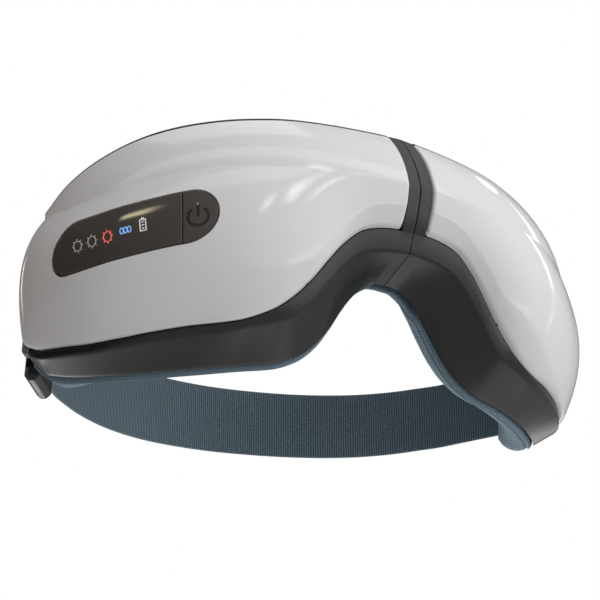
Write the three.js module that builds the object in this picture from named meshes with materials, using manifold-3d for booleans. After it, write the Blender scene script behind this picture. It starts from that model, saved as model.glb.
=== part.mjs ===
// Heated eye massager: two hinged halves with a white front shell on a dark housing, a face lining,
// a display with a power button, and a head strap with a slider.
// Millimetres. +X is to the right in the front view, +Y runs from the front to the back of the head,
// +Z is up, and Z = 0 is the table under the lobes.
import * as THREE from 'three';
import { mergeVertices } from 'three/addons/utils/BufferGeometryUtils.js';
import Module from 'manifold-3d';

const wasm = await Module();
wasm.setup();

// The main sizes: how far a half reaches from the seam to the temple, how deep its plan is, and how
// high its top edge stands over the table at the seam.
const HALF_WIDTH = 102;
const PLAN_DEPTH = 52;
const HEIGHT = 84.2;

// Guide curves of one half. Each starts at the centre seam and ends at the temple. The plan is a
// quarter ellipse, and the height falls by `fall` along `shape`, pairs of plan angle and share.
const CREASE = {
  reach: HALF_WIDTH, front: 0, depth: PLAN_DEPTH, height: HEIGHT - 18.7, fall: 17.8,
  shape: [[0, 0], [22, 0.09], [36, 0.21], [44, 0.33], [58, 0.62], [69, 0.84], [80, 0.97], [90, 1]],
};
const TOP_EDGE = {
  reach: HALF_WIDTH - 1, front: 9.5, depth: PLAN_DEPTH - 7, height: HEIGHT, fall: 36,
  shape: [[0, 0], [22, 0.047], [32, 0.108], [42, 0.208], [53, 0.353], [66, 0.567], [76, 0.756],
    [84, 0.92], [90, 1]],
};
const LOWER_EDGE = {
  reach: HALF_WIDTH + 2, front: 3.7, depth: PLAN_DEPTH + 3, height: HEIGHT - 32.1, fall: HEIGHT - 40.6,
  shape: [[0, 0], [5.5, 0.018], [10, 0.06], [14.2, 0.183], [17.3, 0.323], [20.4, 0.475],
    [23.8, 0.61], [27.7, 0.718], [34.3, 0.821], [43.6, 0.897], [58, 0.963], [78, 1], [84, 0.965],
    [90, 0.84]],
};
// The dark strip under the white shell: its plan, and its height, tall at the bridge and low at the lobe.
const STRIP = {
  reach: HALF_WIDTH + 1, front: 6.8, depth: PLAN_DEPTH - 1, bridgeHeight: 6.3, lobeHeight: 2.4,
  shape: [[0, 1], [19, 1], [23, 0.85], [27, 0.3], [33, 0], [90, 0]],
};
// The rims of the housing's open back. They sweep back towards the temple as the cube of the reach.
const RIM = {
  reach: HALF_WIDTH - 2, front: 19, sweep: PLAN_DEPTH - 15.4, height: HEIGHT - 45.5, fall: HEIGHT - 47.8,
  shape: [[0, 0], [2.3, 0], [5.5, 0.069], [9.2, 0.25], [12.1, 0.448], [15.3, 0.62], [19.2, 0.75],
    [24, 0.83], [31, 0.876], [40, 0.929], [55, 0.989], [64, 1], [74, 0.98], [82, 0.9], [90, 0.82]],
};
const TOP_RIM = { reach: HALF_WIDTH - 4.5, front: 20, sweep: PLAN_DEPTH - 15.4, rise: 0.8 };
const UPPER_CROWN_RADIUS = 34;
const CROWN_RADIUS = 52;
const TEMPLE_ANGLE = 86;

// Walls, steps and clearances.
const SHELL_WALL = 1.6;
const HOUSING_WALL = 1.8;
const PLATE_WALL = 1.8;
const CLEARANCE = 0.35;
const PLATE_CLEARANCE = 0.7;
const SEAM_GAP = 0.3;
const BAND_HALF_WIDTH = 4.5;
const BAND_STEP = 0.9;
const STRIP_STEP = 1.1;
const TOP_LIP = 0.5;
const CAVITY_END_ANGLE = 70;
const TIP_ANGLES = [71.5, 75, 79, 83, TEMPLE_ANGLE];

// The display and the power button, a lozenge on the left half below the crease.
const LOZENGE_START = 40.1;
const LOZENGE_END = 76.2;
const LOZENGE_DROP = 14.9;
const LOZENGE_HALF_HEIGHT = 7.9;
const BUTTON_LENGTH = 10.2;
const WINDOW_WALL = 1.2;
const WINDOW_INSET = 0.1;
const BUTTON_TRAVEL = 0.6;
const BOARD_WALL = 0.8;
const LEDGE = 1.2;
const STEM_RADIUS = 1.3;
const STEM_END = 2;
const SWITCH_HALF = 2.4;
const SWITCH_GAP = 0.35;

// The face lining.
const PAD_DEPTH = 8;
const PAD_INSET = 1.2;
const PAD_SPILL = 2.9;
const PAD_START_ANGLE = 8.6;
const PAD_END_ANGLE = 84;
const PAD_TAPER = [[PAD_START_ANGLE, 0.9], [25, 1], [60, 1], [75, 0.9], [81, 0.75], [PAD_END_ANGLE, 0.45]];
const PAD_GAP = 1.1;
const PAD_BULGE = 0.9;
// Its section: places down its back as shares of its height, and its sides' depths as shares of its own.
const PAD_CREST = [0.1, 0.28, 0.46, 0.64, 0.82, 0.93];
const PAD_SIDES = { topMiddle: 0.45, topShoulder: 0.86, lowShoulder: 0.8, lowMiddle: 0.5, lowFoot: 0.2 };

// A place on the housing's open back is a plan angle and a share of the height between the two rims.
const EYE_PLACE = [18.5, 0.6277];
const EYE_WIDTH = 34;
const EYE_OPENING_HEIGHT = 25;
const EYE_DISH = { depth: 3, across: 0.68 * EYE_WIDTH, up: 0.72 * EYE_OPENING_HEIGHT, ease: 0.7 };

const POCKET_DEPTH = 3.2;
const PLATE_START = 3.2;
const HEATER_START_ANGLE = 10;
const HEATER_END_ANGLE = 60;
const HEATER_WALL = 0.4;
const HEATER_MARGIN = 4;

// Screws through the plate into the housing's bosses.
const SCREW_PLACES = [[30, 0.1336], [62, 0.1957], [32, 0.9046]];
const SCREW_RADIUS = 0.8;
const SCREW_HEAD_RADIUS = 1.7;
const SCREW_HEAD = 0.9;
const SCREW_LENGTH = 8;
const SCREW_CLEARANCE = 0.1;
const BOSS_RADIUS = 2.2;
const BOSS_REACH = 20;

// Massage heads, air cushions and what drives them.
const HEAD_CLEARANCE = 1.5;
const NUB_RADIUS = 2.4;
const NUB_HEIGHT = 1.2;
const NUB_START = 0.6;
const NUB_PLACES = [[0, 0], [8.5, 0], [-8.5, 0], [4.2, 6], [-4.2, 6], [4.2, -6], [-4.2, -6]];
const BAG_RIM = 3;
const BAG_WALL = 3;
const TRAY_WALL = 1.2;
const INLET_RADIUS = 1.5;
const INLET_LENGTH = 3.6;
const INLET_PLACE = 9;
const TUBE_RADIUS = 1.2;

// The hinge at the back of the bridge.
const HINGE_Y = TOP_RIM.front + 1.2;
const HINGE_BOTTOM = RIM.height + 7.3;
const KNUCKLE_HEIGHT = 6;
const KNUCKLE_COUNT = 5;
const KNUCKLE_RADIUS = 2;
const PIN_RADIUS = 0.9;
const PIN_CLEARANCE = 0.1;
const LEAF_WALL = 1.2;
const LEAF_REACH = 12.8;
const LEAF_SET_BACK = 1;
const PIN_HEAD = 1.2;
const PIN_HEAD_RADIUS = 1.53;
const HINGE_SCREW_X = 8.2;
const HINGE_SCREW_HEIGHTS = [HINGE_BOTTOM + 6, HINGE_BOTTOM + 25.4];
const HINGE_SCREW_LENGTH = 6;

// Routes of the hose and the cable on the right, as places and depths in front of the plate's back,
// and where they cross the hinge, as a place from the front and a height.
const HOSE_ROUTE = [[43.5, 0.751, 8.5], [39, 0.7323, 11], [33, 0.6129, 12], [25, 0.5334, 11.5],
  [15, 0.4884, 10.6], [8, 0.3804, 9.7]];
const HOSE_CROSSING = [HINGE_Y - 8, HINGE_BOTTOM + 7];
const CABLE_ROUTE = [[38, 0.4704, 8], [30, 0.4418, 10.5], [22, 0.4409, 10.8], [12, 0.3879, 9.6],
  [6, 0.2658, 8.6]];
const CABLE_CROSSING = [HINGE_Y - 8, HINGE_BOTTOM + 3.2];
const CABLE_RADIUS = 1;

// Pieces inside the cavity: where each stands and its size.
const BATTERY = { place: [47, 0.4792], size: [28, 7.5, 0.4038 * HEIGHT] };
const MAIN_BOARD = { place: [28, 0.2885], size: [20, 1.2, 19] };
const PUMP = { place: [45, 0.2907], radius: 5.3, motor: 15, crank: 3.4, head: 10, port: 2.6 };
const VALVE = { place: [37.5, 0.7863], radius: 3.2, length: 8 };
const VIBRATOR = { place: [55, 0.8101], radius: 2.6, length: 8, weight: 3, shaft: 0.6 };
const SPEAKER = { place: [30, 0.3212], radius: 6.5, depth: 3.4 };
const SOCKET = { place: [21, 0.7626], size: [9, 3.3, 7.4], wall: 0.4, mouth: 5.2, depth: 2.8 };
// The chips on the main board: across, up, width, height and how far each stands off the board.
const CHIPS = [[-7, 3, 6, 6, 1.2], [3, 2, 4, 3, 1], [-2, -6, 9, 3, 2.6], [7, -6, 3, 3, 1.6]];

// The head strap: half of its plan from the temple to the middle of the back, as a share of the half
// width and a place behind the plan's end, with the height of its lower edge.
const STRAP_ROUTE = [[0.9667, 8, 10], [0.8902, 17.1, 8], [0.8137, 26.2, 6], [0.7755, 30.75, 5],
  [0.7157, 36, 3.9], [0.6373, 41.6, 2.5], [0.5392, 47.6, 1.3], [0.4216, 54, 0.6], [0.2941, 59.8, 0.4],
  [0.1569, 63.8, 0.4], [0, 65.5, 0.4]];
const STRAP_WIDTH = 23.5;
const STRAP_WALL = 1.5;
const SLIDER_LENGTH = 21;
const SLIDER_MARGIN = 4.2;
const SLIDER_WALL = 5;
const SLIDER_PLACE = 0.066;
const SLOT_CLEARANCE = 0.4;
const ANCHOR_LENGTH = 4.6;
const ANCHOR_GRIP = 1.4;
const ANCHOR_WALL = 3.9;
const ANCHOR_MARGIN = 1.6;

// How far the strap's outer face reaches behind the plan, and the origin at half of the whole depth.
const STRAP_REACH = 66.2;
const ORIGIN_Y = (PLAN_DEPTH + STRAP_REACH) / 2;

const COLOURS = {
  shell: { color: 0xd9d7d4, roughness: 0.16, metalness: 0 },
  housing: { color: 0x2f2e2e, roughness: 0.42, metalness: 0 },
  window: { color: 0x2c2825, roughness: 0.12, metalness: 0 },
  lining: { color: 0x4c5c66, roughness: 0.95, metalness: 0 },
  webbing: { color: 0x4a5a64, roughness: 0.95, metalness: 0 },
  slider: { color: 0x1b1b1c, roughness: 0.4, metalness: 0 },
  plate: { color: 0x3a3c3f, roughness: 0.6, metalness: 0 },
  board: { color: 0x1f5a3c, roughness: 0.5, metalness: 0 },
  steel: { color: 0xb4b7ba, roughness: 0.3, metalness: 1 },
  brass: { color: 0xb08d4a, roughness: 0.35, metalness: 1 },
  cell: { color: 0x3f6fa8, roughness: 0.5, metalness: 0 },
  film: { color: 0xb5652a, roughness: 0.5, metalness: 0 },
  bag: { color: 0x8a8f94, roughness: 0.6, metalness: 0 },
  tube: { color: 0xc9ccc8, roughness: 0.5, metalness: 0 },
};

const radians = THREE.MathUtils.degToRad;

// Points are plain arrays [x, y, z].
const add = (a, b, k = 1) => [a[0] + b[0] * k, a[1] + b[1] * k, a[2] + b[2] * k];
const dot = (a, b) => a[0] * b[0] + a[1] * b[1] + a[2] * b[2];
const mix = (a, b, t) => a.map((value, i) => value + (b[i] - value) * t);

/** A monotone cubic through pairs of [position, value]. */
function through(keys) {
  const n = keys.length;
  const slopes = [];
  for (let i = 0; i < n - 1; i += 1) {
    slopes.push((keys[i + 1][1] - keys[i][1]) / (keys[i + 1][0] - keys[i][0]));
  }
  const tangents = keys.map((key, i) => {
    if (i === 0) return slopes[0];
    if (i === n - 1) return slopes[n - 2];
    const product = slopes[i - 1] * slopes[i];
    return product <= 0 ? 0 : (2 * product) / (slopes[i - 1] + slopes[i]);
  });
  return (x) => {
    let i = 0;
    while (i < n - 2 && x > keys[i + 1][0]) i += 1;
    const width = keys[i + 1][0] - keys[i][0];
    const t = Math.min(Math.max((x - keys[i][0]) / width, 0), 1);
    const t2 = t * t;
    const t3 = t2 * t;
    return (2 * t3 - 3 * t2 + 1) * keys[i][1] + (t3 - 2 * t2 + t) * width * tangents[i]
      + (3 * t2 - 2 * t3) * keys[i + 1][1] + (t3 - t2) * width * tangents[i + 1];
  };
}

const guides = [CREASE, TOP_EDGE, LOWER_EDGE, STRIP, RIM];
const shapes = new Map(guides.map((guide) => [guide, through(guide.shape)]));

/** The point of a guide at a plan angle. A station near the seam fixes x, so that cut faces are flat. */
function onGuide(guide, station, height) {
  const sine = Math.sin(radians(station.angle));
  const x = station.x ?? guide.reach * sine;
  const y = guide.sweep
    ? guide.front + guide.sweep * sine ** 3
    : guide.front + guide.depth * (1 - Math.cos(radians(station.angle)));
  return [x, y, height ?? guide.height - guide.fall * shapes.get(guide)(station.angle)];
}

const topEdge = (station) => onGuide(TOP_EDGE, station);
const crease = (station) => onGuide(CREASE, station);
const lowerEdge = (station) => onGuide(LOWER_EDGE, station);
const rim = (station) => onGuide(RIM, station);
const topRim = (station) => onGuide(TOP_RIM, station, topEdge(station)[2] + TOP_RIM.rise);

/** The lower crease, where the front strip turns into the underside. */
function stripEdge(station) {
  const share = shapes.get(STRIP)(station.angle);
  const drop = STRIP.lobeHeight + (STRIP.bridgeHeight - STRIP.lobeHeight) * share;
  return onGuide(STRIP, station, lowerEdge(station)[2] - drop);
}

/** The level direction into the housing, square to the crease's plan. */
function inward(station) {
  if (station.x !== undefined) return [0, 1, 0];
  const angle = radians(station.angle);
  const direction = [-CREASE.depth * Math.sin(angle), CREASE.reach * Math.cos(angle), 0];
  return direction.map((value) => value / Math.hypot(...direction));
}

/** Points inside a crowned stretch from a to b, an arc that bulges outwards. */
function crown(a, b, radius, steps, station) {
  const into = inward(station);
  const chord = add(b, a, -1);
  const level = dot(chord, into);
  const length = Math.hypot(...chord);
  const out = [chord[2] * into[0], chord[2] * into[1], -level];
  const size = Math.hypot(...out);
  const centre = Math.sqrt(radius ** 2 - (length / 2) ** 2);
  return Array.from({ length: steps - 1 }, (_, i) => {
    const t = (i + 1) / steps;
    const sag = Math.sqrt(radius ** 2 - ((t - 0.5) * length) ** 2) - centre;
    return add(mix(a, b, t), out, sag / size);
  });
}

const UPPER_STEPS = 3;
const CROWN_STEPS = 7;

/** The outer surface of the white shell at a station, from the top edge down to the lower edge. */
function faceLine(station) {
  const [top, fold, low] = [topEdge(station), crease(station), lowerEdge(station)];
  return [top, ...crown(top, fold, UPPER_CROWN_RADIUS, UPPER_STEPS, station), fold,
    ...crown(fold, low, CROWN_RADIUS, CROWN_STEPS, station), low];
}

/** A line moved into the housing by a distance, square to itself in the section plane. */
function offset(line, distance, station) {
  const into = inward(station);
  const normals = line.slice(1).map((point, i) => {
    const step = add(point, line[i], -1);
    const level = dot(step, into);
    const length = Math.hypot(level, step[2]);
    return [-step[2] / length, level / length];
  });
  return line.map((point, i) => {
    const before = normals[Math.max(i - 1, 0)];
    const after = normals[Math.min(i, normals.length - 1)];
    const spread = 1 + before[0] * after[0] + before[1] * after[1];
    const level = (before[0] + after[0]) / spread;
    const rise = (before[1] + after[1]) / spread;
    return add(add(point, into, level * distance), [0, 0, rise * distance]);
  });
}

/** The same line with both ends lengthened along themselves. */
function extended(line, length) {
  const reach = (end, next) => add(end, add(end, next, -1), length / Math.hypot(...add(end, next, -1)));
  return [reach(line[0], line[1]), ...line.slice(1, -1), reach(line.at(-1), line.at(-2))];
}

/** A solid through closed rings of points, with both ends capped. */
function loft(rings, level) {
  const size = rings[0].length;
  const positions = rings.flat(2);
  const index = [];
  for (let i = 0; i < rings.length - 1; i += 1) {
    for (let j = 0; j < size; j += 1) {
      const k = (j + 1) % size;
      const [a, b, c, d] = [i * size + j, i * size + k, (i + 1) * size + k, (i + 1) * size + j];
      index.push(a, b, c, a, c, d);
    }
  }
  [0, rings.length - 1].forEach((ring) => {
    const flat = rings[ring].map((point) => new THREE.Vector2(dot(point, level(ring)), point[2]));
    const faces = THREE.ShapeUtils.triangulateShape(flat, []);
    const covered = faces.reduce((sum, face) => sum + THREE.ShapeUtils.area(face.map((i) => flat[i])), 0);
    const alike = covered * THREE.ShapeUtils.area(flat) > 0;
    faces.forEach((face) => {
      const [a, b, c] = face.map((i) => ring * size + i);
      if (alike === (ring > 0)) index.push(a, b, c);
      else index.push(a, c, b);
    });
  });
  const geometry = new THREE.BufferGeometry();
  geometry.setAttribute('position', new THREE.Float32BufferAttribute(positions, 3));
  geometry.setIndex(index);
  return facingOut(geometry);
}

/** Six times the volume that a geometry's faces enclose. */
function enclosed(geometry) {
  const p = geometry.getAttribute('position');
  const index = geometry.getIndex();
  const [a, b, c] = [new THREE.Vector3(), new THREE.Vector3(), new THREE.Vector3()];
  let sum = 0;
  for (let i = 0; i < index.count; i += 3) {
    a.fromBufferAttribute(p, index.getX(i));
    b.fromBufferAttribute(p, index.getX(i + 1));
    c.fromBufferAttribute(p, index.getX(i + 2));
    sum += a.dot(b.cross(c));
  }
  return sum;
}

function facingOut(geometry) {
  if (enclosed(geometry) < 0) {
    const index = geometry.getIndex();
    for (let i = 0; i < index.count; i += 3) {
      const keep = index.getX(i + 1);
      index.setX(i + 1, index.getX(i + 2));
      index.setX(i + 2, keep);
    }
  }
  return geometry;
}

/** The same solid on the other side of the seam. */
function mirrored(geometry) {
  const copy = clean(geometry);
  copy.scale(-1, 1, 1);
  return facingOut(copy);
}

function clean(geometry) {
  const bare = geometry.clone();
  bare.deleteAttribute('normal');
  bare.deleteAttribute('uv');
  return mergeVertices(bare, 1e-4);
}

function toSolid(geometry) {
  const merged = clean(geometry);
  return new wasm.Manifold(new wasm.Mesh({
    numProp: 3,
    vertProperties: new Float32Array(merged.getAttribute('position').array),
    triVerts: new Uint32Array(merged.getIndex().array),
  }));
}

function fromSolid(solid) {
  const mesh = solid.getMesh();
  const geometry = new THREE.BufferGeometry();
  geometry.setAttribute('position', new THREE.BufferAttribute(new Float32Array(mesh.vertProperties), 3));
  geometry.setIndex(new THREE.BufferAttribute(new Uint32Array(mesh.triVerts), 1));
  return geometry;
}

function cut(body, ...tools) {
  return fromSolid(tools.reduce((solid, tool) => solid.subtract(toSolid(tool)), toSolid(body)));
}

const joined = (...bodies) => fromSolid(bodies.map(toSolid).reduce((all, solid) => all.add(solid)));

const STATION_EASE = 1.25;

/** Stations from one plan angle to another, closer together where the arch is steep. */
function stations(from, to, count) {
  const steps = Array.from({ length: count + 1 }, (_, i) => i / count);
  return steps.map((t) => ({ angle: from + (to - from) * t ** STATION_EASE }));
}

const angleAt = (x) => THREE.MathUtils.radToDeg(Math.asin(x / CREASE.reach));
const seamStation = { angle: angleAt(SEAM_GAP / 2), x: SEAM_GAP / 2 };
const bandStation = { angle: angleAt(BAND_HALF_WIDTH - CLEARANCE), x: BAND_HALF_WIDTH - CLEARANCE };
const shellStation = { angle: angleAt(BAND_HALF_WIDTH), x: BAND_HALF_WIDTH };
const FACE_STATIONS = 22;

function frontShell() {
  const along = [shellStation, ...stations(shellStation.angle + 1.2, TEMPLE_ANGLE, FACE_STATIONS)];
  const rings = along.map((station) => {
    const line = faceLine(station);
    return [...line, ...offset(line, SHELL_WALL, station).reverse()];
  });
  return loft(rings, (ring) => inward(along[ring]));
}

/** The point on the line between the two rims at the height of a point. */
function behind(point, station) {
  const [high, low] = [topRim(station), rim(station)];
  return mix(high, low, (high[2] - point[2]) / (high[2] - low[2]));
}

/** The housing's section. `recess` is the face's depth under the white shell's outer surface. */
function housingRing(station, recess, solid) {
  const line = extended(faceLine(station), CLEARANCE);
  const seat = offset(line, recess, station);
  const lip = offset(line, -TOP_LIP, station)[0];
  const shelf = offset(line, STRIP_STEP, station).at(-1);
  const [high, fold, low] = [topRim(station), stripEdge(station), rim(station)];
  const outer = [high, lip, ...seat, shelf, fold, low];
  const skin = offset([high, ...seat, fold, low], HOUSING_WALL, station);
  const inner = skin.map((point, i) => {
    const end = i === 0 || i === skin.length - 1;
    const room = dot(add(behind(point, station), point, -1), inward(station));
    return end || solid || room < 0 ? behind(point, station) : point;
  });
  return [...outer, ...inner.reverse()];
}

/** The dark housing, hollow up to the temple, or its whole outside as a solid. */
function housing(filled) {
  const recess = SHELL_WALL + CLEARANCE;
  const stepStation = { angle: bandStation.angle + 0.05, x: bandStation.x + 0.05 };
  const body = stations(stepStation.angle + 1.3, CAVITY_END_ANGLE, FACE_STATIONS - 5);
  const ends = TIP_ANGLES.map((angle) => ({ angle }));
  const along = [seamStation, bandStation, stepStation, ...body, ...ends];
  const rings = along.map((station, i) => housingRing(station, i < 2 ? BAND_STEP : recess,
    filled || i >= along.length - ends.length));
  return loft(rings, (ring) => inward(along[ring]));
}

/** The line across the housing's open back at a station, with its length and its direction downwards. */
function backLine(station) {
  const [high, low] = [topRim(station), rim(station)];
  const across = add(low, high, -1);
  const into = inward(station);
  const level = dot(across, into);
  const length = Math.hypot(level, across[2]);
  const down = add([0, 0, across[2] / length], into, level / length);
  const back = add([0, 0, level / length], into, -across[2] / length);
  return { high, low, length, down, back };
}

/** A point at a distance down the back line and a depth behind it. */
const onBack = (line, along, depth) => add(add(line.high, line.down, along), line.back, depth);

/** The run of a housing wall from its front edge to its rim, for each millimetre inward. */
function wallRun(front, back, station) {
  const run = add(back, front, -1);
  return run.map((value) => value / dot(run, inward(station)));
}

/** A sheet along the open back, between two depths behind the back line, clear of the housing's walls. */
function backSheet(along, front, rear, margin) {
  const rings = along.map((station) => {
    const line = backLine(station);
    const topRun = wallRun(topEdge(station), line.high, station);
    const lowRun = wallRun(stripEdge(station), line.low, station);
    const top = HOUSING_WALL + margin;
    const low = line.length - top * Math.hypot(1, lowRun[2]);
    const row = (depth) => [0, 0.33, 0.67, 1].map((t) => {
      const point = onBack(line, top + (low - top) * t, Math.max(depth, 0));
      return add(point, mix(topRun, lowRun, t), Math.min(depth, 0));
    });
    return [...row(rear), ...row(front).reverse()];
  });
  return loft(rings, (ring) => inward(along[ring]));
}

/** A level elliptical rod along Y through the eye opening. */
function eyeRod(width, height, from, to, centre = eyeCentre) {
  const shape = new THREE.Shape();
  shape.absellipse(0, 0, width / 2, height / 2, 0, 2 * Math.PI);
  const options = { depth: to - from, bevelEnabled: false, curveSegments: 10 };
  const rod = new THREE.ExtrudeGeometry(shape, options);
  rod.rotateX(Math.PI / 2);
  rod.translate(0, to, 0);
  rod.applyMatrix4(centre);
  return rod;
}

/** A frame at a place on the open back: X along it, Y out of its back, Z up it. */
function plateFrame(angle, share) {
  const middle = backLine({ angle });
  const height = mix(middle.low, middle.high, share)[2];
  const at = (a) => {
    const line = backLine({ angle: a });
    return onBack(line, ((line.high[2] - height) / (line.high[2] - line.low[2])) * line.length, 0);
  };
  const centre = at(angle);
  const step = add(at(angle + 0.5), at(angle - 0.5), -1);
  const tangent = new THREE.Vector3(step[0], step[1], 0).normalize();
  const up = new THREE.Vector3(...middle.down).negate();
  const back = new THREE.Vector3().crossVectors(up, tangent).normalize();
  up.crossVectors(tangent, back);
  return new THREE.Matrix4().makeBasis(tangent, back, up).setPosition(...centre);
}

const eyeCentre = plateFrame(...EYE_PLACE);
const plateFront = -PLATE_WALL - CLEARANCE;

/** A box between two corners, in a frame. */
function boxIn(frame, low, high) {
  const size = high.map((value, i) => value - low[i]);
  const box = new THREE.BoxGeometry(...size);
  box.translate(...low.map((value, i) => value + size[i] / 2));
  return box.applyMatrix4(frame);
}

/** A rod along an axis of a frame, from one end to the other, with its centre line through a point. */
function rodIn(frame, axis, radius, from, to, centre = [0, 0, 0], sides = 12) {
  const rod = new THREE.CylinderGeometry(radius, radius, to - from, sides);
  if (axis === 'x') rod.rotateZ(Math.PI / 2);
  if (axis === 'z') rod.rotateX(Math.PI / 2);
  const middle = (from + to) / 2;
  rod.translate(centre[0] + (axis === 'x' ? middle : 0), centre[1] + (axis === 'y' ? middle : 0),
    centre[2] + (axis === 'z' ? middle : 0));
  return rod.applyMatrix4(frame);
}

const BACK_STATIONS = 16;
const plateStart = { angle: angleAt(PLATE_START), x: PLATE_START };
const plateStations = [plateStart,
  ...stations(plateStart.angle + 1.5, CAVITY_END_ANGLE - 1.5, BACK_STATIONS)];

const screwFrames = SCREW_PLACES.map(([angle, height]) => plateFrame(angle, height));

function innerPlate() {
  const sheet = backSheet(plateStations, -PLATE_WALL, 0, PLATE_CLEARANCE);
  const holes = screwFrames.flatMap((frame) => [
    rodIn(frame, 'y', SCREW_RADIUS + CLEARANCE, -3 * PLATE_WALL, PLATE_WALL, [0, 0, 0], 8),
    rodIn(frame, 'y', SCREW_HEAD_RADIUS + CLEARANCE, -SCREW_HEAD - CLEARANCE, PLATE_WALL, [0, 0, 0], 8),
  ]);
  const leafHoles = HINGE_SCREW_HEIGHTS.map((z) => rodIn(new THREE.Matrix4(), 'y',
    SCREW_RADIUS + CLEARANCE, 0, HINGE_Y, [HINGE_SCREW_X, 0, z], 8));
  const opening = eyeRod(EYE_WIDTH, EYE_OPENING_HEIGHT, -3 * PLATE_WALL, 3 * PLATE_WALL);
  return cut(sheet, opening, ...holes, ...leafHoles);
}

/** A screw that holds the plate on one of the housing's bosses. */
function plateScrew(frame) {
  return joined(rodIn(frame, 'y', SCREW_HEAD_RADIUS, -SCREW_HEAD, 0, [0, 0, 0], 8),
    rodIn(frame, 'y', SCREW_RADIUS, -SCREW_LENGTH, -SCREW_HEAD / 2, [0, 0, 0], 8));
}

/** The housing with a drilled boss for each screw, trimmed to the housing's outside. */
function housingWithBosses() {
  const bosses = screwFrames.map((frame) => rodIn(frame, 'y', BOSS_RADIUS, -BOSS_REACH, plateFront,
    [0, 0, 0], 10));
  const inside = fromSolid(toSolid(joined(...bosses)).intersect(toSolid(housing(true))));
  const bores = screwFrames.map((frame) => rodIn(frame, 'y', SCREW_RADIUS + SCREW_CLEARANCE,
    -SCREW_LENGTH - 1, 0, [0, 0, 0], 8));
  return cut(joined(housing(false), inside), ...bores);
}

function heaterFilm() {
  const film = backSheet(stations(HEATER_START_ANGLE, HEATER_END_ANGLE, 8), CLEARANCE,
    CLEARANCE + HEATER_WALL, HEATER_MARGIN);
  return cut(film, eyeRod(EYE_WIDTH, EYE_OPENING_HEIGHT, -3 * PLATE_WALL, 3 * PLATE_WALL));
}

/** How deep the lining is dished at a point on its back, 0 outside the eye recess. */
function dish(point) {
  const centre = new THREE.Vector3().setFromMatrixPosition(eyeCentre);
  const across = (point[0] - centre.x) / EYE_DISH.across;
  const up = (point[2] - centre.z) / EYE_DISH.up;
  return EYE_DISH.depth * Math.max(0, 1 - across ** 2 - up ** 2) ** EYE_DISH.ease;
}

/** The lining's section: flat on the plate, crowned behind, and spilling under the rim at the lobe. */
function padRing(station, depth) {
  const line = backLine(station);
  const spill = PAD_SPILL * shapes.get(RIM)(station.angle);
  const end = line.length;
  const rear = PAD_GAP + depth;
  const crest = PAD_CREST.map((t) => {
    const point = onBack(line, end * t, rear);
    return add(point, line.back, -dish(point));
  });
  const points = [
    onBack(line, PAD_INSET, PAD_GAP),
    onBack(line, PAD_INSET - PAD_BULGE, PAD_GAP + depth * PAD_SIDES.topMiddle),
    onBack(line, PAD_INSET + PAD_BULGE, PAD_GAP + depth * PAD_SIDES.topShoulder),
    ...crest,
    onBack(line, end - PAD_INSET + spill, PAD_GAP + depth * PAD_SIDES.lowShoulder),
    onBack(line, end + spill, PAD_GAP + depth * PAD_SIDES.lowMiddle),
    onBack(line, end - PAD_INSET / 2 + spill, PAD_GAP + depth * PAD_SIDES.lowFoot),
    onBack(line, end - PAD_INSET, PAD_GAP),
  ];
  return points.map((point) => [point[0], point[1], Math.max(point[2], 0)]);
}

function facePad() {
  const along = [...stations(PAD_START_ANGLE, PAD_END_ANGLE - 3, BACK_STATIONS + 2),
    { angle: PAD_END_ANGLE }];
  const taper = through(PAD_TAPER);
  const body = loft(along.map((station) => padRing(station, PAD_DEPTH * taper(station.angle))),
    (ring) => inward(along[ring]));
  return cut(body, eyeRod(EYE_WIDTH + 2 * CLEARANCE, EYE_OPENING_HEIGHT + 2 * CLEARANCE, -PAD_GAP,
    PAD_GAP + POCKET_DEPTH));
}

// Lengths along the face at the lozenge, measured from its end near the bridge towards the temple.
const ANGLE_STEP = 0.1;
const lozengeAngles = [];
const runs = [];
for (let angle = LOZENGE_START - 5, length = 0; angle < LOZENGE_END + 8; angle += ANGLE_STEP) {
  lozengeAngles.push(angle);
  runs.push(length);
  const turn = radians(angle);
  length += radians(ANGLE_STEP)
    * Math.hypot(LOWER_EDGE.reach * Math.cos(turn), CREASE.depth * Math.sin(turn));
}
const runBefore = runs[lozengeAngles.findIndex((angle) => angle > LOZENGE_START - ANGLE_STEP / 2)];
const lozengeLengths = runs.map((length) => length - runBefore);
const angleAlong = (length) => {
  const i = Math.max(lozengeLengths.findIndex((value) => value >= length), 1);
  const share = (length - lozengeLengths[i - 1]) / (lozengeLengths[i] - lozengeLengths[i - 1]);
  return mix([lozengeAngles[i - 1]], [lozengeAngles[i]], share)[0];
};
const lozengeLength = lozengeLengths[lozengeAngles.findIndex((angle) => angle >= LOZENGE_END)];

/** A point on the crowned face at a height, moved in by a depth. */
function onFace(station, height, depth) {
  const [fold, low] = [crease(station), lowerEdge(station)];
  const line = [fold, ...crown(fold, low, CROWN_RADIUS, 24, station), low];
  const i = Math.max(line.findIndex((point) => point[2] <= height), 1);
  const share = (line[i - 1][2] - height) / (line[i - 1][2] - line[i][2]);
  const inner = offset(line, depth, station);
  return mix(inner[i - 1], inner[i], share);
}

// Where the lozenge's round ends have their stations, how many its straight stretch has, the least
// distance between two, and the rows up its face as shares of half its height.
const ROUND_ANGLES = [14, 32, 50, 70, 90];
const MIDDLE_COUNT = 6;
const LEAST_STEP = 0.8;
const FACE_ROWS = [1, 0.34, -0.34, -1];

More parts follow.
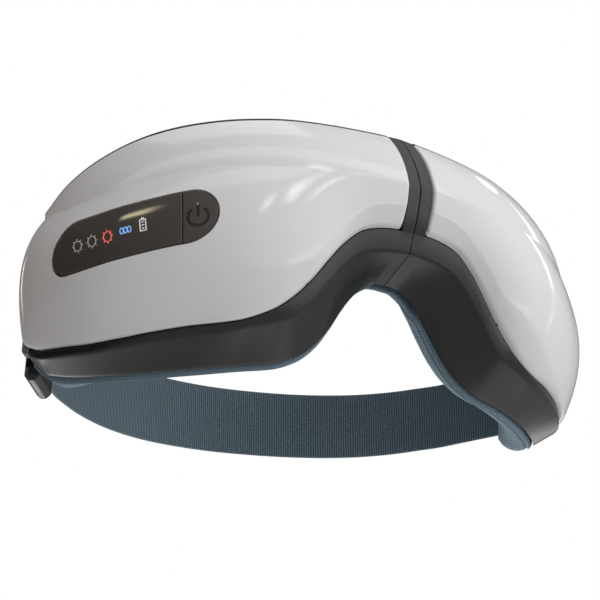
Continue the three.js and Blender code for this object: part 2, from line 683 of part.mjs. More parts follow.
/** A slab on the face between two lengths and two depths, within the lozenge grown by a margin. */
function lozengeSlab(from, to, outerDepth, innerDepth, margin) {
  const radius = LOZENGE_HALF_HEIGHT + margin;
  const end = lozengeLength + margin;
  const straight = lozengeLength - 2 * LOZENGE_HALF_HEIGHT;
  const round = ROUND_ANGLES.map((angle) => radius * (1 - Math.cos(radians(angle))));
  const middle = Array.from({ length: MIDDLE_COUNT },
    (_, i) => radius + ((i + 1) / (MIDDLE_COUNT + 1)) * straight);
  const marks = [...round.map((value) => value - margin), ...middle,
    ...round.map((value) => end - value).reverse()];
  const between = marks.filter((value) => value > from + LEAST_STEP && value < to - LEAST_STEP);
  const places = [from, ...between, to];
  const along = places.map((length) => ({ angle: angleAlong(length) }));
  const rings = places.map((length, i) => {
    const edge = Math.min(length + margin, end - length, radius);
    const half = Math.sqrt(Math.max(radius ** 2 - (radius - edge) ** 2, 1));
    const centre = crease(along[i])[2] - LOZENGE_DROP;
    const row = (depth) => FACE_ROWS.map((t) => onFace(along[i], centre + half * t, depth));
    return [...row(outerDepth), ...row(innerDepth).reverse()];
  });
  return loft(rings, (ring) => inward(along[ring]));
}

const tip = LOZENGE_HALF_HEIGHT * (1 - Math.cos(radians(ROUND_ANGLES[0])));

/** The same slab, stopped short of the lozenge's two tips, where it would have no height. */
function slabInside(from, to, outer, inner, margin) {
  const start = Math.max(from, tip - margin);
  const end = Math.min(to, lozengeLength + margin - tip);
  return lozengeSlab(start, end, outer, inner, margin);
}

/** A frame on the face: X towards the temple, Y into the part, Z up, at a length along the lozenge. */
function faceFrame(length, depth) {
  const station = { angle: angleAlong(length) };
  const into = new THREE.Vector3(...inward(station));
  const across = new THREE.Vector3().crossVectors(into, new THREE.Vector3(0, 0, 1));
  const centre = onFace(station, crease(station)[2] - LOZENGE_DROP, depth);
  return new THREE.Matrix4().makeBasis(across, into, new THREE.Vector3(0, 0, 1)).setPosition(...centre);
}

const boardEnd = lozengeLengths[lozengeAngles.findIndex((angle) => angle >= CAVITY_END_ANGLE - 1)];
const capFloor = WINDOW_INSET + WINDOW_WALL;
const boardTop = SHELL_WALL + CLEARANCE + HOUSING_WALL + CLEARANCE;
const buttonFrame = faceFrame(BUTTON_LENGTH * 0.54, 0);

function powerButton() {
  const cap = slabInside(-1, BUTTON_LENGTH, WINDOW_INSET, capFloor, 0);
  return joined(cap, rodIn(buttonFrame, 'y', STEM_RADIUS, capFloor - WINDOW_WALL / 2, STEM_END));
}

/** One leaf of the hinge: a plate with every second knuckle, `first` being the lowest that it has. */
function hingeLeaf(first) {
  const pitch = KNUCKLE_HEIGHT + CLEARANCE;
  const top = HINGE_BOTTOM + KNUCKLE_COUNT * pitch - CLEARANCE;
  const origin = new THREE.Matrix4();
  const front = HINGE_Y - LEAF_SET_BACK;
  const parts = [boxIn(origin, [KNUCKLE_RADIUS + CLEARANCE, front, HINGE_BOTTOM],
    [LEAF_REACH, front + LEAF_WALL, top])];
  for (let i = first; i < KNUCKLE_COUNT; i += 2) {
    const low = HINGE_BOTTOM + i * pitch;
    parts.push(rodIn(origin, 'z', KNUCKLE_RADIUS, low, low + KNUCKLE_HEIGHT, [0, HINGE_Y, 0]));
    parts.push(boxIn(origin, [KNUCKLE_RADIUS / 2, front, low],
      [KNUCKLE_RADIUS + 2 * CLEARANCE, front + LEAF_WALL, low + KNUCKLE_HEIGHT]));
  }
  const bore = rodIn(origin, 'z', PIN_RADIUS + PIN_CLEARANCE, HINGE_BOTTOM - 1, top + 1, [0, HINGE_Y, 0]);
  const holes = HINGE_SCREW_HEIGHTS.map((z) => rodIn(origin, 'y', SCREW_RADIUS + SCREW_CLEARANCE, front - 1,
    front + 2 * LEAF_WALL, [HINGE_SCREW_X, 0, z], 8));
  return cut(joined(...parts), bore, ...holes);
}

/** A screw that holds a leaf on the plate, at a height. */
function hingeScrew(z) {
  const origin = new THREE.Matrix4();
  const back = HINGE_Y - LEAF_SET_BACK + LEAF_WALL + SCREW_CLEARANCE;
  return joined(
    rodIn(origin, 'y', SCREW_HEAD_RADIUS, back, back + SCREW_HEAD / 2, [HINGE_SCREW_X, 0, z], 8),
    rodIn(origin, 'y', SCREW_RADIUS, back - HINGE_SCREW_LENGTH, back + SCREW_HEAD / 4,
      [HINGE_SCREW_X, 0, z], 8),
  );
}

function hingePin() {
  const origin = new THREE.Matrix4();
  const top = HINGE_BOTTOM + KNUCKLE_COUNT * (KNUCKLE_HEIGHT + CLEARANCE);
  const shaft = rodIn(origin, 'z', PIN_RADIUS, HINGE_BOTTOM - PIN_HEAD, top + PIN_HEAD / 2, [0, HINGE_Y, 0]);
  const head = rodIn(origin, 'z', PIN_HEAD_RADIUS, top, top + PIN_HEAD, [0, HINGE_Y, 0]);
  return joined(shaft, head);
}

const strapPoint = ([share, y, z], side) => new THREE.Vector3(side * share * HALF_WIDTH, PLAN_DEPTH + y, z);
const leftRoute = STRAP_ROUTE.map((point) => strapPoint(point, -1));
const rightRoute = STRAP_ROUTE.slice(0, -1).map((point) => strapPoint(point, 1)).reverse();
const strapCurve = new THREE.CatmullRomCurve3([...leftRoute, ...rightRoute], false, 'centripetal');

function strap() {
  const count = 44;
  const rings = strapCurve.getSpacedPoints(count).map((point, i) => {
    const along = strapCurve.getTangentAt(i / count);
    const side = new THREE.Vector3(-along.y, along.x, 0).setLength(STRAP_WALL / 2);
    const [outX, outY] = [point.x + side.x, point.y + side.y];
    const [inX, inY] = [point.x - side.x, point.y - side.y];
    const [low, high] = [point.z, point.z + STRAP_WIDTH];
    return [[outX, outY, low], [outX, outY, high], [inX, inY, high], [inX, inY, low]];
  });
  const across = (ring) => {
    const along = strapCurve.getTangentAt(ring / count);
    return [-along.y, along.x, 0];
  };
  return loft(rings, across);
}

/** A frame on the strap's middle line at a share of its length: X along it, Y outwards, Z up it. */
function strapFrame(share) {
  const along = strapCurve.getTangentAt(share).normalize();
  const out = new THREE.Vector3(-along.y, along.x, 0).normalize();
  const up = new THREE.Vector3().crossVectors(along, out);
  const centre = strapCurve.getPointAt(share).add(new THREE.Vector3(0, 0, STRAP_WIDTH / 2));
  return new THREE.Matrix4().makeBasis(along, out, up).setPosition(centre);
}

/** A frame round the strap, open at both ends. */
function sleeveIn(frame, length, wall, margin, start) {
  const half = STRAP_WIDTH / 2 + margin;
  const outer = boxIn(frame, [start, -wall / 2, -half], [start + length, wall / 2, half]);
  const slotHalf = [STRAP_WALL / 2 + SLOT_CLEARANCE, STRAP_WIDTH / 2 + 2 * SLOT_CLEARANCE];
  return { outer, slotHalf };
}

function slider() {
  const frame = strapFrame(SLIDER_PLACE);
  const { outer, slotHalf } = sleeveIn(frame, SLIDER_LENGTH, SLIDER_WALL, SLIDER_MARGIN, -SLIDER_LENGTH / 2);
  const [deep, high] = slotHalf;
  return cut(outer, boxIn(frame, [-SLIDER_LENGTH, -deep, -high], [SLIDER_LENGTH, deep, high]));
}

/** The clamp at the left temple that holds the strap's end. It stands upright. */
function strapAnchor() {
  const along = strapCurve.getTangentAt(0).setZ(0).normalize();
  const out = new THREE.Vector3(-along.y, along.x, 0);
  const centre = strapCurve.getPointAt(0).add(new THREE.Vector3(0, 0, STRAP_WIDTH / 2));
  const frame = new THREE.Matrix4().makeBasis(along, out, new THREE.Vector3(0, 0, 1)).setPosition(centre);
  const start = ANCHOR_GRIP - ANCHOR_LENGTH;
  const { outer, slotHalf } = sleeveIn(frame, ANCHOR_LENGTH, ANCHOR_WALL, ANCHOR_MARGIN, start);
  const [deep, high] = slotHalf;
  return cut(outer, boxIn(frame, [-CLEARANCE, -deep, -high], [ANCHOR_LENGTH, deep, high]));
}

/** The massage head in the eye opening: a plate with small domes on its back. */
function massageHead() {
  const disc = eyeRod(EYE_WIDTH - 2 * HEAD_CLEARANCE, EYE_OPENING_HEIGHT - 2 * HEAD_CLEARANCE,
    -PLATE_WALL, -NUB_START);
  const nubs = NUB_PLACES.map(([x, z]) => {
    const nub = new THREE.SphereGeometry(NUB_RADIUS, 8, 4);
    nub.scale(1, NUB_HEIGHT / NUB_RADIUS, 1);
    nub.translate(x, -NUB_START, z);
    return nub.applyMatrix4(eyeCentre);
  });
  return joined(disc, ...nubs);
}

const bagFront = plateFront - BAG_WALL;
const trayFront = bagFront - CLEARANCE - TRAY_WALL;

/** The flat air cushion in front of the massage head, with its inlet. */
function airbag() {
  const bag = eyeRod(EYE_WIDTH + 2 * BAG_RIM, EYE_OPENING_HEIGHT + 2 * BAG_RIM, bagFront, plateFront);
  const inlet = rodIn(eyeCentre, 'y', INLET_RADIUS, bagFront - INLET_LENGTH, bagFront + 1,
    [0, 0, INLET_PLACE], 10);
  return joined(bag, inlet);
}

/** The tray that holds the air cushion, open where the inlet passes. */
function airbagTray() {
  const tray = eyeRod(EYE_WIDTH + 2 * BAG_RIM, EYE_OPENING_HEIGHT + 2 * BAG_RIM, trayFront,
    trayFront + TRAY_WALL);
  const passage = rodIn(eyeCentre, 'y', INLET_RADIUS + CLEARANCE, -BOSS_REACH, 0, [0, 0, INLET_PLACE], 10);
  return cut(tray, passage);
}

/** A tube along a path of points. */
function tube(points, radius, steps) {
  const path = new THREE.CatmullRomCurve3(points.map((point) => new THREE.Vector3(...point)));
  const ring = new THREE.Shape();
  ring.absarc(0, 0, radius, 0, 2 * Math.PI);
  return new THREE.ExtrudeGeometry(ring, { steps, curveSegments: 4, extrudePath: path, bevelEnabled: false });
}

const inFrame = (frame, point) => new THREE.Vector3(...point).applyMatrix4(frame).toArray();
const seat = plateFront - CLEARANCE;

/** A flat cell with its small protection board on top. */
function batteryPack() {
  const frame = plateFrame(...BATTERY.place);
  const [wide, deep, tall] = BATTERY.size;
  const cell = boxIn(frame, [-wide / 2, seat - deep, -tall / 2], [wide / 2, seat, tall / 2]);
  const board = boxIn(frame, [-wide / 4, seat - deep + 2, tall / 2 - 1], [wide / 4, seat - 2, tall / 2 + 2]);
  return joined(cell, board);
}

/** The main board with its chips and sockets. */
function mainBoard() {
  const frame = plateFrame(...MAIN_BOARD.place);
  const [wide, deep, tall] = MAIN_BOARD.size;
  const board = boxIn(frame, [-wide / 2, seat - deep, -tall / 2], [wide / 2, seat, tall / 2]);
  const blocks = CHIPS.map(([x, z, width, height, rise]) => boxIn(frame,
    [x - width / 2, seat - deep - rise, z - height / 2], [x + width / 2, seat - deep / 2, z + height / 2]));
  return joined(board, ...blocks);
}

const pumpFrame = plateFrame(...PUMP.place);
const pumpAxis = [0, seat - PUMP.radius, 0];
const pumpPorts = [-PUMP.port, PUMP.port].map((x) => [x, pumpAxis[1], 0]);
const crankStart = PUMP.motor + CLEARANCE;
const headStart = crankStart + PUMP.crank + CLEARANCE;
const portTop = headStart + PUMP.head + 1.5;

function pumpMotor() {
  return joined(rodIn(pumpFrame, 'z', PUMP.radius, 0, PUMP.motor, pumpAxis, 20),
    rodIn(pumpFrame, 'z', PUMP.radius / 3, -1, 1, pumpAxis, 12));
}

/** The crank on the motor's shaft, heavier on one side, with its pin. */
function pumpCrank() {
  const disc = rodIn(pumpFrame, 'z', PUMP.radius * 0.75, crankStart, crankStart + PUMP.crank / 2,
    pumpAxis, 20);
  const pin = rodIn(pumpFrame, 'z', PUMP.radius / 6, crankStart, headStart - CLEARANCE,
    [pumpAxis[0], pumpAxis[1] + PUMP.radius * 0.4, 0], 10);
  return joined(disc, pin);
}

function pumpHead() {
  const body = rodIn(pumpFrame, 'z', PUMP.radius, headStart, headStart + PUMP.head, pumpAxis, 20);
  const outlets = pumpPorts.map((centre) => rodIn(pumpFrame, 'z', TUBE_RADIUS,
    headStart + PUMP.head - 1, portTop, centre, 10));
  return joined(body, ...outlets);
}

const valveFrame = plateFrame(...VALVE.place);

function airValve() {
  const centre = [0, seat - VALVE.radius, 0];
  const body = rodIn(valveFrame, 'x', VALVE.radius, -VALVE.length / 2, VALVE.length / 2, centre, 14);
  const base = boxIn(valveFrame, [-VALVE.length / 2, seat - 1, -VALVE.radius],
    [VALVE.length / 2, seat, VALVE.radius]);
  return joined(body, base);
}

const vibratorFrame = plateFrame(...VIBRATOR.place);
const vibratorAxis = [0, seat - VIBRATOR.radius, 0];
const weightStart = VIBRATOR.length / 2 + CLEARANCE;

function vibrationMotor() {
  const half = VIBRATOR.length / 2;
  return joined(rodIn(vibratorFrame, 'x', VIBRATOR.radius, -half, half, vibratorAxis, 14),
    rodIn(vibratorFrame, 'x', VIBRATOR.shaft, half - 1, weightStart + VIBRATOR.weight, vibratorAxis, 10));
}

/** The half-round weight on the vibration motor's shaft. */
function vibrationWeight() {
  const [low, high] = [weightStart, weightStart + VIBRATOR.weight];
  const disc = rodIn(vibratorFrame, 'x', VIBRATOR.radius - CLEARANCE, low, high, vibratorAxis, 16);
  const half = boxIn(vibratorFrame, [low - 1, vibratorAxis[1] - VIBRATOR.radius, VIBRATOR.shaft + 0.5],
    [high + 1, vibratorAxis[1] + VIBRATOR.radius, VIBRATOR.radius]);
  const bore = rodIn(vibratorFrame, 'x', VIBRATOR.shaft + PIN_CLEARANCE, low - 1, high + 1, vibratorAxis, 12);
  return cut(disc, half, bore);
}

const mirrorX = ([x, y, z]) => [-x, y, z];
const beyondValve = (x) => inFrame(valveFrame, [x, seat - VALVE.radius, 0]);
const valveEnd = (side) => beyondValve(side * (VALVE.length / 2 + CLEARANCE));
const nearValve = (side) => beyondValve(side * (VALVE.length / 2 + 3.2));
const inletEnd = inFrame(eyeCentre, [0, bagFront - INLET_LENGTH - PLATE_CLEARANCE, INLET_PLACE]);
const portEnd = (port) => inFrame(pumpFrame, [port[0], port[1], portTop + CLEARANCE]);

/** The tube from the valve to the air cushion's inlet. It runs in front of the tray. */
function bagTube() {
  const bend = (x, y, z) => inFrame(eyeCentre, [x, bagFront - INLET_LENGTH - y, INLET_PLACE + z]);
  return tube([valveEnd(-1), nearValve(-1), bend(19.5, 0.4, -1), bend(14, 1.6, 0), bend(6, 2.2, 0),
    bend(1.2, 2.2, 0), inletEnd], TUBE_RADIUS, 16);
}

/** The tube from the pump to the right valve. */
function pumpTube() {
  const above = (lift, x) => inFrame(pumpFrame, [PUMP.port + x, pumpAxis[1], portTop + lift]);
  return tube([portEnd(pumpPorts[1]), above(3, 0), above(7, -2.4), nearValve(1), valveEnd(1)],
    TUBE_RADIUS, 12);
}

/** The points of a route in front of the plate's back. */
const routed = (route) => route.map(([angle, share, depth]) => inFrame(plateFrame(angle, share),
  [0, -depth, 0]));

/** The soft hose from the pump to the left valve. It crosses the hinge in front of the leaves. */
function airHose() {
  const right = routed(HOSE_ROUTE);
  const left = [...right].reverse().slice(0, -1).map(mirrorX);
  return tube([portEnd(pumpPorts[0]), ...right, [0, ...HOSE_CROSSING], ...left, mirrorX(nearValve(1)),
    mirrorX(valveEnd(1))], TUBE_RADIUS, 44);
}

/** The cable from the main board to the right half. It crosses the hinge beside the hose. */
function hingeCable() {
  const right = routed(CABLE_ROUTE);
  const left = right.slice(1).map(mirrorX);
  return tube([...right, [0, ...CABLE_CROSSING], ...left.reverse()], CABLE_RADIUS, 26);
}

function speaker() {
  const frame = plateFrame(...SPEAKER.place);
  const back = rodIn(frame, 'y', SPEAKER.radius, seat - SPEAKER.depth, seat, [0, 0, 0], 20);
  const magnet = rodIn(frame, 'y', SPEAKER.radius / 2, seat - SPEAKER.depth - 1, seat - 1, [0, 0, 0], 16);
  return joined(back, magnet);
}

const socketFrame = plateFrame(...SOCKET.place);
const socketZ = new THREE.Vector3().setFromMatrixPosition(socketFrame).z;
const socketTop = backLine({ angle: SOCKET.place[0] }).high[2] - socketZ - SOCKET.wall;

/** The charging socket under the top wall, with its mouth upwards. */
function chargingSocket() {
  const [wide, thick, tall] = SOCKET.size;
  const top = socketTop;
  const rear = -SOCKET.depth;
  const body = boxIn(socketFrame, [-wide / 2, rear - thick, top - tall], [wide / 2, rear, top]);
  const mouth = boxIn(socketFrame, [-wide / 2 + SOCKET.wall, rear - thick + SOCKET.wall, top - SOCKET.mouth],
    [wide / 2 - SOCKET.wall, rear - SOCKET.wall, top + 1]);
  const tongue = boxIn(socketFrame, [-wide / 3, rear - thick / 2 - 0.3, top - SOCKET.mouth - 0.5],
    [wide / 3, rear - thick / 2 + 0.3, top - 0.8]);
  return joined(cut(body, mouth), tongue);
}

/** The hole in the housing that the socket looks out of. */
function socketHole() {
  const [wide, thick, tall] = SOCKET.size;
  const rear = -SOCKET.depth + CLEARANCE;
  return boxIn(socketFrame, [-wide / 2 - CLEARANCE, rear - thick - 2 * CLEARANCE, socketTop - tall],
    [wide / 2 + CLEARANCE, rear, socketTop + BOSS_REACH]);
}

const group = new THREE.Group();
group.position.set(0, -ORIGIN_Y, 0);

function place(name, geometry, colour) {
  const bare = clean(geometry);
  bare.computeVertexNormals();
  const mesh = new THREE.Mesh(bare, new THREE.MeshStandardMaterial(COLOURS[colour]));
  mesh.name = name;
  group.add(mesh);
}

/** One piece on each side of the seam, made once. */
function placePair(name, geometry, colour) {
  place(`right_${name}`, geometry, colour);
  place(`left_${name}`, mirrored(geometry), colour);
}

// Shells. The left ones are cut for the display, and the left housing for the charging socket.
const shell = frontShell();
const windowCut = slabInside(-1, lozengeLength + 1, -SHELL_WALL, 2 * SHELL_WALL, CLEARANCE);
place('right_front_shell', shell, 'shell');
place('left_front_shell', mirrored(cut(shell, windowCut)), 'shell');
const casing = housingWithBosses();
const boardCut = slabInside(-1, boardEnd - LEDGE, SHELL_WALL / 2, boardTop + 1, -LEDGE);
place('right_housing', casing, 'housing');
place('left_housing', mirrored(cut(casing, boardCut, socketHole())), 'housing');
placePair('inner_plate', innerPlate(), 'plate');
screwFrames.forEach((frame, i) => placePair(`plate_screw_${i + 1}`, plateScrew(frame), 'steel'));
placePair('face_pad', facePad(), 'lining');
placePair('heater_film', heaterFilm(), 'film');
placePair('massage_head', massageHead(), 'plate');
placePair('airbag', airbag(), 'bag');
placePair('airbag_tray', airbagTray(), 'plate');
placePair('air_valve', airValve(), 'steel');
placePair('air_tube', bagTube(), 'tube');
placePair('vibration_motor', vibrationMotor(), 'steel');
placePair('vibration_weight', vibrationWeight(), 'brass');

// Display and power button, on the left.
const onLeft = (name, geometry, colour) => place(name, mirrored(geometry), colour);
const displayWindow = slabInside(BUTTON_LENGTH + CLEARANCE, lozengeLength + 1, WINDOW_INSET, capFloor, 0);
onLeft('display_window', displayWindow, 'window');
onLeft('power_button', powerButton(), 'window');
onLeft('display_board', slabInside(2, boardEnd, boardTop, boardTop + BOARD_WALL, -LEDGE / 2), 'board');
const buttonSwitch = boxIn(buttonFrame, [-SWITCH_HALF, STEM_END + BUTTON_TRAVEL + SWITCH_GAP, -SWITCH_HALF],
  [SWITCH_HALF, boardTop - SWITCH_GAP, SWITCH_HALF]);
onLeft('button_switch', buttonSwitch, 'steel');

// What works the massager: power and control on the left, the air pump and the speaker on the right.
onLeft('battery_pack', batteryPack(), 'cell');
onLeft('main_board', mainBoard(), 'board');
onLeft('charging_socket', chargingSocket(), 'steel');
place('pump_motor', pumpMotor(), 'steel');
place('pump_crank', pumpCrank(), 'brass');
place('pump_head', pumpHead(), 'slider');
place('pump_tube', pumpTube(), 'tube');
place('air_hose', airHose(), 'tube');
place('hinge_cable', hingeCable(), 'slider');
place('speaker', speaker(), 'steel');

// Hinge.
place('right_hinge_leaf', hingeLeaf(1), 'steel');
place('left_hinge_leaf', mirrored(hingeLeaf(0)), 'steel');
place('hinge_pin', hingePin(), 'steel');
HINGE_SCREW_HEIGHTS.forEach((z, i) => placePair(`hinge_screw_${i + 1}`, hingeScrew(z), 'steel'));

// Strap.
place('head_strap', strap(), 'webbing');
place('strap_slider', slider(), 'slider');
place('left_strap_anchor', strapAnchor(), 'slider');
place('right_strap_anchor', mirrored(strapAnchor()), 'slider');

export default group;
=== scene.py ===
"""The looks of a heated eye massager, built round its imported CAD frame.

Two halves hinge at the nose bridge. Each has a white shell on a dark housing, and both carry a face
lining and a head strap. Guide curves give the surfaces. They are in millimetres, with X to the right in
the front view, Y from the front to the back of the head and Z up from the table. A piece's mesh is in
metres, in the frame's own coordinates.
"""

import logging
import math
from collections.abc import Callable, Sequence
from dataclasses import dataclass, field
from enum import Enum

import bmesh
import bpy
import numpy as np
from mathutils import Matrix, Quaternion, Vector
from mathutils.bvhtree import BVHTree
from mathutils.geometry import tessellate_polygon

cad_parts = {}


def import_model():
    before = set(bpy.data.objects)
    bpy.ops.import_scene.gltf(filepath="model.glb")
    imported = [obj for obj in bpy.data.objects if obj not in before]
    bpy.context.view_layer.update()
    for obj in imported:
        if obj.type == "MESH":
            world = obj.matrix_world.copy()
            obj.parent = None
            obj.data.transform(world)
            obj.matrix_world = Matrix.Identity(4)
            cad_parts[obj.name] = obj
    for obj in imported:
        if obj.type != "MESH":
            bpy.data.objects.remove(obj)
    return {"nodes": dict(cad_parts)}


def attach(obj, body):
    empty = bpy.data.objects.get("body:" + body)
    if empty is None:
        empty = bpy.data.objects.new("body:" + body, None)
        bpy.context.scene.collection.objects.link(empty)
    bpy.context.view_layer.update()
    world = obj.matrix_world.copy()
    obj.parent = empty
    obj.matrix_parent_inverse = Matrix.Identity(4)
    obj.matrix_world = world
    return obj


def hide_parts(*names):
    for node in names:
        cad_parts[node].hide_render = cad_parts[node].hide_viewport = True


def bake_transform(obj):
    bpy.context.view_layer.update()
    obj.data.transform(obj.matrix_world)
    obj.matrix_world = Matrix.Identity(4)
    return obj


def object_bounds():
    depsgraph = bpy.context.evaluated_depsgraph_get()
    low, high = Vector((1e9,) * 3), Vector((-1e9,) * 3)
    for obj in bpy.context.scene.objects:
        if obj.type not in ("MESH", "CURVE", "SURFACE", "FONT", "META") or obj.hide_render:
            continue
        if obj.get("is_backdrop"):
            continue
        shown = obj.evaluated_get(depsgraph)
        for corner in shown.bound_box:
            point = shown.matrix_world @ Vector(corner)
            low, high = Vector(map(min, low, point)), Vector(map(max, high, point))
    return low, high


log = logging.getLogger("eye_massager")

MM = 0.001
WEAVE_MAP = "weave"
ORIGIN_Y = 59.1
UP = np.array((0.0, 0.0, 1.0))
Object = bpy.types.Object
Node = bpy.types.Node
Socket = bpy.types.NodeSocket
Colour = tuple[float, float, float]
Keys = tuple[tuple[float, float], ...]

# The main sizes of a half, and the walls and gaps that its pieces share.
HALF_WIDTH = 102.0
PLAN_DEPTH = 52.0
HEIGHT = 84.2
SHELL_WALL = 1.6
HOUSING_WALL = 1.8
CLEARANCE = 0.35
UPPER_CROWN_RADIUS = 34.0
CROWN_RADIUS = 52.0
TEMPLE_ANGLE = 86.0
BAND_HALF_WIDTH = 5.0
SEAM_GAP = 0.3

# How finely an arc is searched for a height, how close the doubles of built and copied meshes lie, and a
# length that keeps a division from zero.
CHORD_SAMPLES = 401
DOUBLES = 1e-7
COPIED_DOUBLES = 1e-6
TINY = 1e-7

# The swell's curve, x times the square of 1 - x, peaks at 4 / 27. This scale makes its peak 1.
SWELL_SCALE = 27 / 4

# How well directions must agree for a cut face to keep its old shading, and a soft form's sharp angle.
STILL_SMOOTH = 0.96
SOFT_EDGE = 50.0


class Slot(Enum):
    """The record's material slots."""

    WHITE_SHELL = "white_shell"
    DARK_HOUSING = "dark_housing"
    DISPLAY_PLASTIC = "display_plastic"
    FACE_LINING = "face_lining"
    STRAP_WEBBING = "strap_webbing"
    BLACK_PLASTIC = "black_plastic"
    INNER_PLASTIC = "inner_plastic"
    CIRCUIT_BOARD = "circuit_board"
    BATTERY_WRAP = "battery_wrap"
    HEATER_FILM = "heater_film"
    AIRBAG_RUBBER = "airbag_rubber"
    CLEAR_TUBE = "clear_tube"
    STEEL = "steel"
    BRASS = "brass"


class Side(Enum):
    """A half of the massager, with the sign of its X."""

    LEFT = -1
    RIGHT = 1

    @property
    def body(self) -> str:
        """The CAD body of this half."""
        return f"{self.name.lower()}_half"


def through(keys: Keys) -> Callable[[float], float]:
    """A monotone cubic through keys.

    Args:
        keys: Pairs of position and value, in order of position.

    Returns:
        A function from a position to its value.
    """
    places, values = np.array(keys, float).T
    slopes = np.diff(values) / np.diff(places)
    tangents = np.zeros(len(places))
    tangents[0], tangents[-1] = slopes[0], slopes[-1]
    for i in range(1, len(places) - 1):
        product = slopes[i - 1] * slopes[i]
        tangents[i] = 0 if product <= 0 else 2 * product / (slopes[i - 1] + slopes[i])

    def value(x: float) -> float:
        """The value at a position."""
        i = int(np.clip(np.searchsorted(places, x) - 1, 0, len(places) - 2))
        width = places[i + 1] - places[i]
        t = min(max((x - places[i]) / width, 0.0), 1.0)
        start = (2 * t**3 - 3 * t**2 + 1) * values[i] + (t**3 - 2 * t**2 + t) * width * tangents[i]
        end = (3 * t**2 - 2 * t**3) * values[i + 1] + (t**3 - t**2) * width * tangents[i + 1]
        return float(start + end)

    return value


@dataclass(frozen=True)
class Station:
    """A place along a half: a plan angle from the seam, and an X that holds near the seam."""

    angle: float
    x: float | None = None


def at_x(x: float) -> Station:
    """The station with an X that holds."""
    return Station(math.degrees(math.asin(x / HALF_WIDTH)), x)


def between(start: float, end: float, count: int, ease: float = 1.15) -> list[Station]:
    """Stations from one plan angle to another, closer together at the start."""
    return [Station(start + (end - start) * (i / count) ** ease) for i in range(count + 1)]


@dataclass
class Guide:
    """A guide curve of one half, from the centre seam to the temple.

    The plan is a quarter ellipse, or sweeps back as the cube of the reach. The height falls by `fall`
    along `shape`, pairs of plan angle and share.
    """

    reach: float
    front: float
    depth: float = 0.0
    sweep: float = 0.0
    height: float = 0.0
    fall: float = 0.0
    shape: Keys = ((0.0, 0.0), (90.0, 1.0))

    def __post_init__(self) -> None:
        """Makes the curve of shares."""
        self.share = through(self.shape)

    def point(self, station: Station, height: float | None = None) -> np.ndarray:
        """The guide's point at a station, or at another height over it."""
        sine = math.sin(math.radians(station.angle))
        x = self.reach * sine if station.x is None else station.x
        if self.sweep:
            y = self.front + self.sweep * sine**3
        else:
            y = self.front + self.depth * (1 - math.cos(math.radians(station.angle)))
        z = self.height - self.fall * self.share(station.angle) if height is None else height
        return np.array((x, y, z))


CREASE = Guide(
    HALF_WIDTH, 0.0, depth=PLAN_DEPTH, height=HEIGHT - 18.7, fall=17.8,
    shape=((0, 0), (22, 0.09), (36, 0.21), (44, 0.33), (58, 0.62), (69, 0.84), (80, 0.97), (90, 1)),
)
TOP_EDGE = Guide(
    HALF_WIDTH - 1, 9.5, depth=PLAN_DEPTH - 7, height=HEIGHT, fall=36.0,
    shape=((0, 0), (22, 0.062), (32, 0.126), (42, 0.218), (53, 0.353), (66, 0.567), (76, 0.756),
           (84, 0.92), (90, 1)),
)
LOWER_EDGE = Guide(
    HALF_WIDTH + 2, 3.7, depth=PLAN_DEPTH + 3, height=HEIGHT - 32.1, fall=HEIGHT - 40.6,
    shape=((0, 0), (5.5, 0.018), (10, 0.06), (14.2, 0.183), (17.3, 0.323), (20.4, 0.475), (23.8, 0.61),
           (27.7, 0.718), (34.3, 0.815), (43.6, 0.873), (50, 0.915), (58, 0.964), (66, 0.994), (78, 1),
           (84, 0.965), (90, 0.84)),
)
STRIP = Guide(HALF_WIDTH + 1, 6.8, depth=PLAN_DEPTH - 1,
              shape=((0, 1), (19, 1), (23, 0.85), (27, 0.3), (33, 0), (90, 0)))
STRIP_DROPS = (6.3, 1.9)
RIM = Guide(
    HALF_WIDTH - 2, 19.0, sweep=PLAN_DEPTH - 15.4, height=HEIGHT - 45.5, fall=HEIGHT - 47.8,
    shape=((0, 0), (2.3, 0.012), (5.5, 0.085), (9.2, 0.26), (12.1, 0.448), (15.3, 0.62), (19.2, 0.75),
           (24, 0.83), (31, 0.876), (40, 0.929), (55, 0.989), (64, 1), (74, 0.98), (82, 0.9), (90, 0.82)),
)
TOP_RIM = Guide(HALF_WIDTH - 4.5, 20.0, sweep=PLAN_DEPTH - 15.4)
SWELL = through(((0, 0), (50, 0), (62, 0.9), (70, 1.5), (80, 1.8), (90, 1.8)))
TOP_RIM_RISE = 0.8


def top_rim(station: Station) -> np.ndarray:
    """The upper rim of the housing's open back."""
    return TOP_RIM.point(station, TOP_EDGE.point(station)[2] + TOP_RIM_RISE)


def strip_edge(station: Station) -> np.ndarray:
    """The lower crease, where the front strip turns into the underside."""
    bridge, lobe = STRIP_DROPS
    drop = lobe + (bridge - lobe) * STRIP.share(station.angle)
    return STRIP.point(station, LOWER_EDGE.point(station)[2] - drop)


def inward(station: Station) -> np.ndarray:
    """The level direction into the housing, square to the crease's plan."""
    if station.x is not None:
        return np.array((0.0, 1.0, 0.0))
    angle = math.radians(station.angle)
    direction = np.array((-PLAN_DEPTH * math.sin(angle), HALF_WIDTH * math.cos(angle), 0.0))
    return direction / np.linalg.norm(direction)


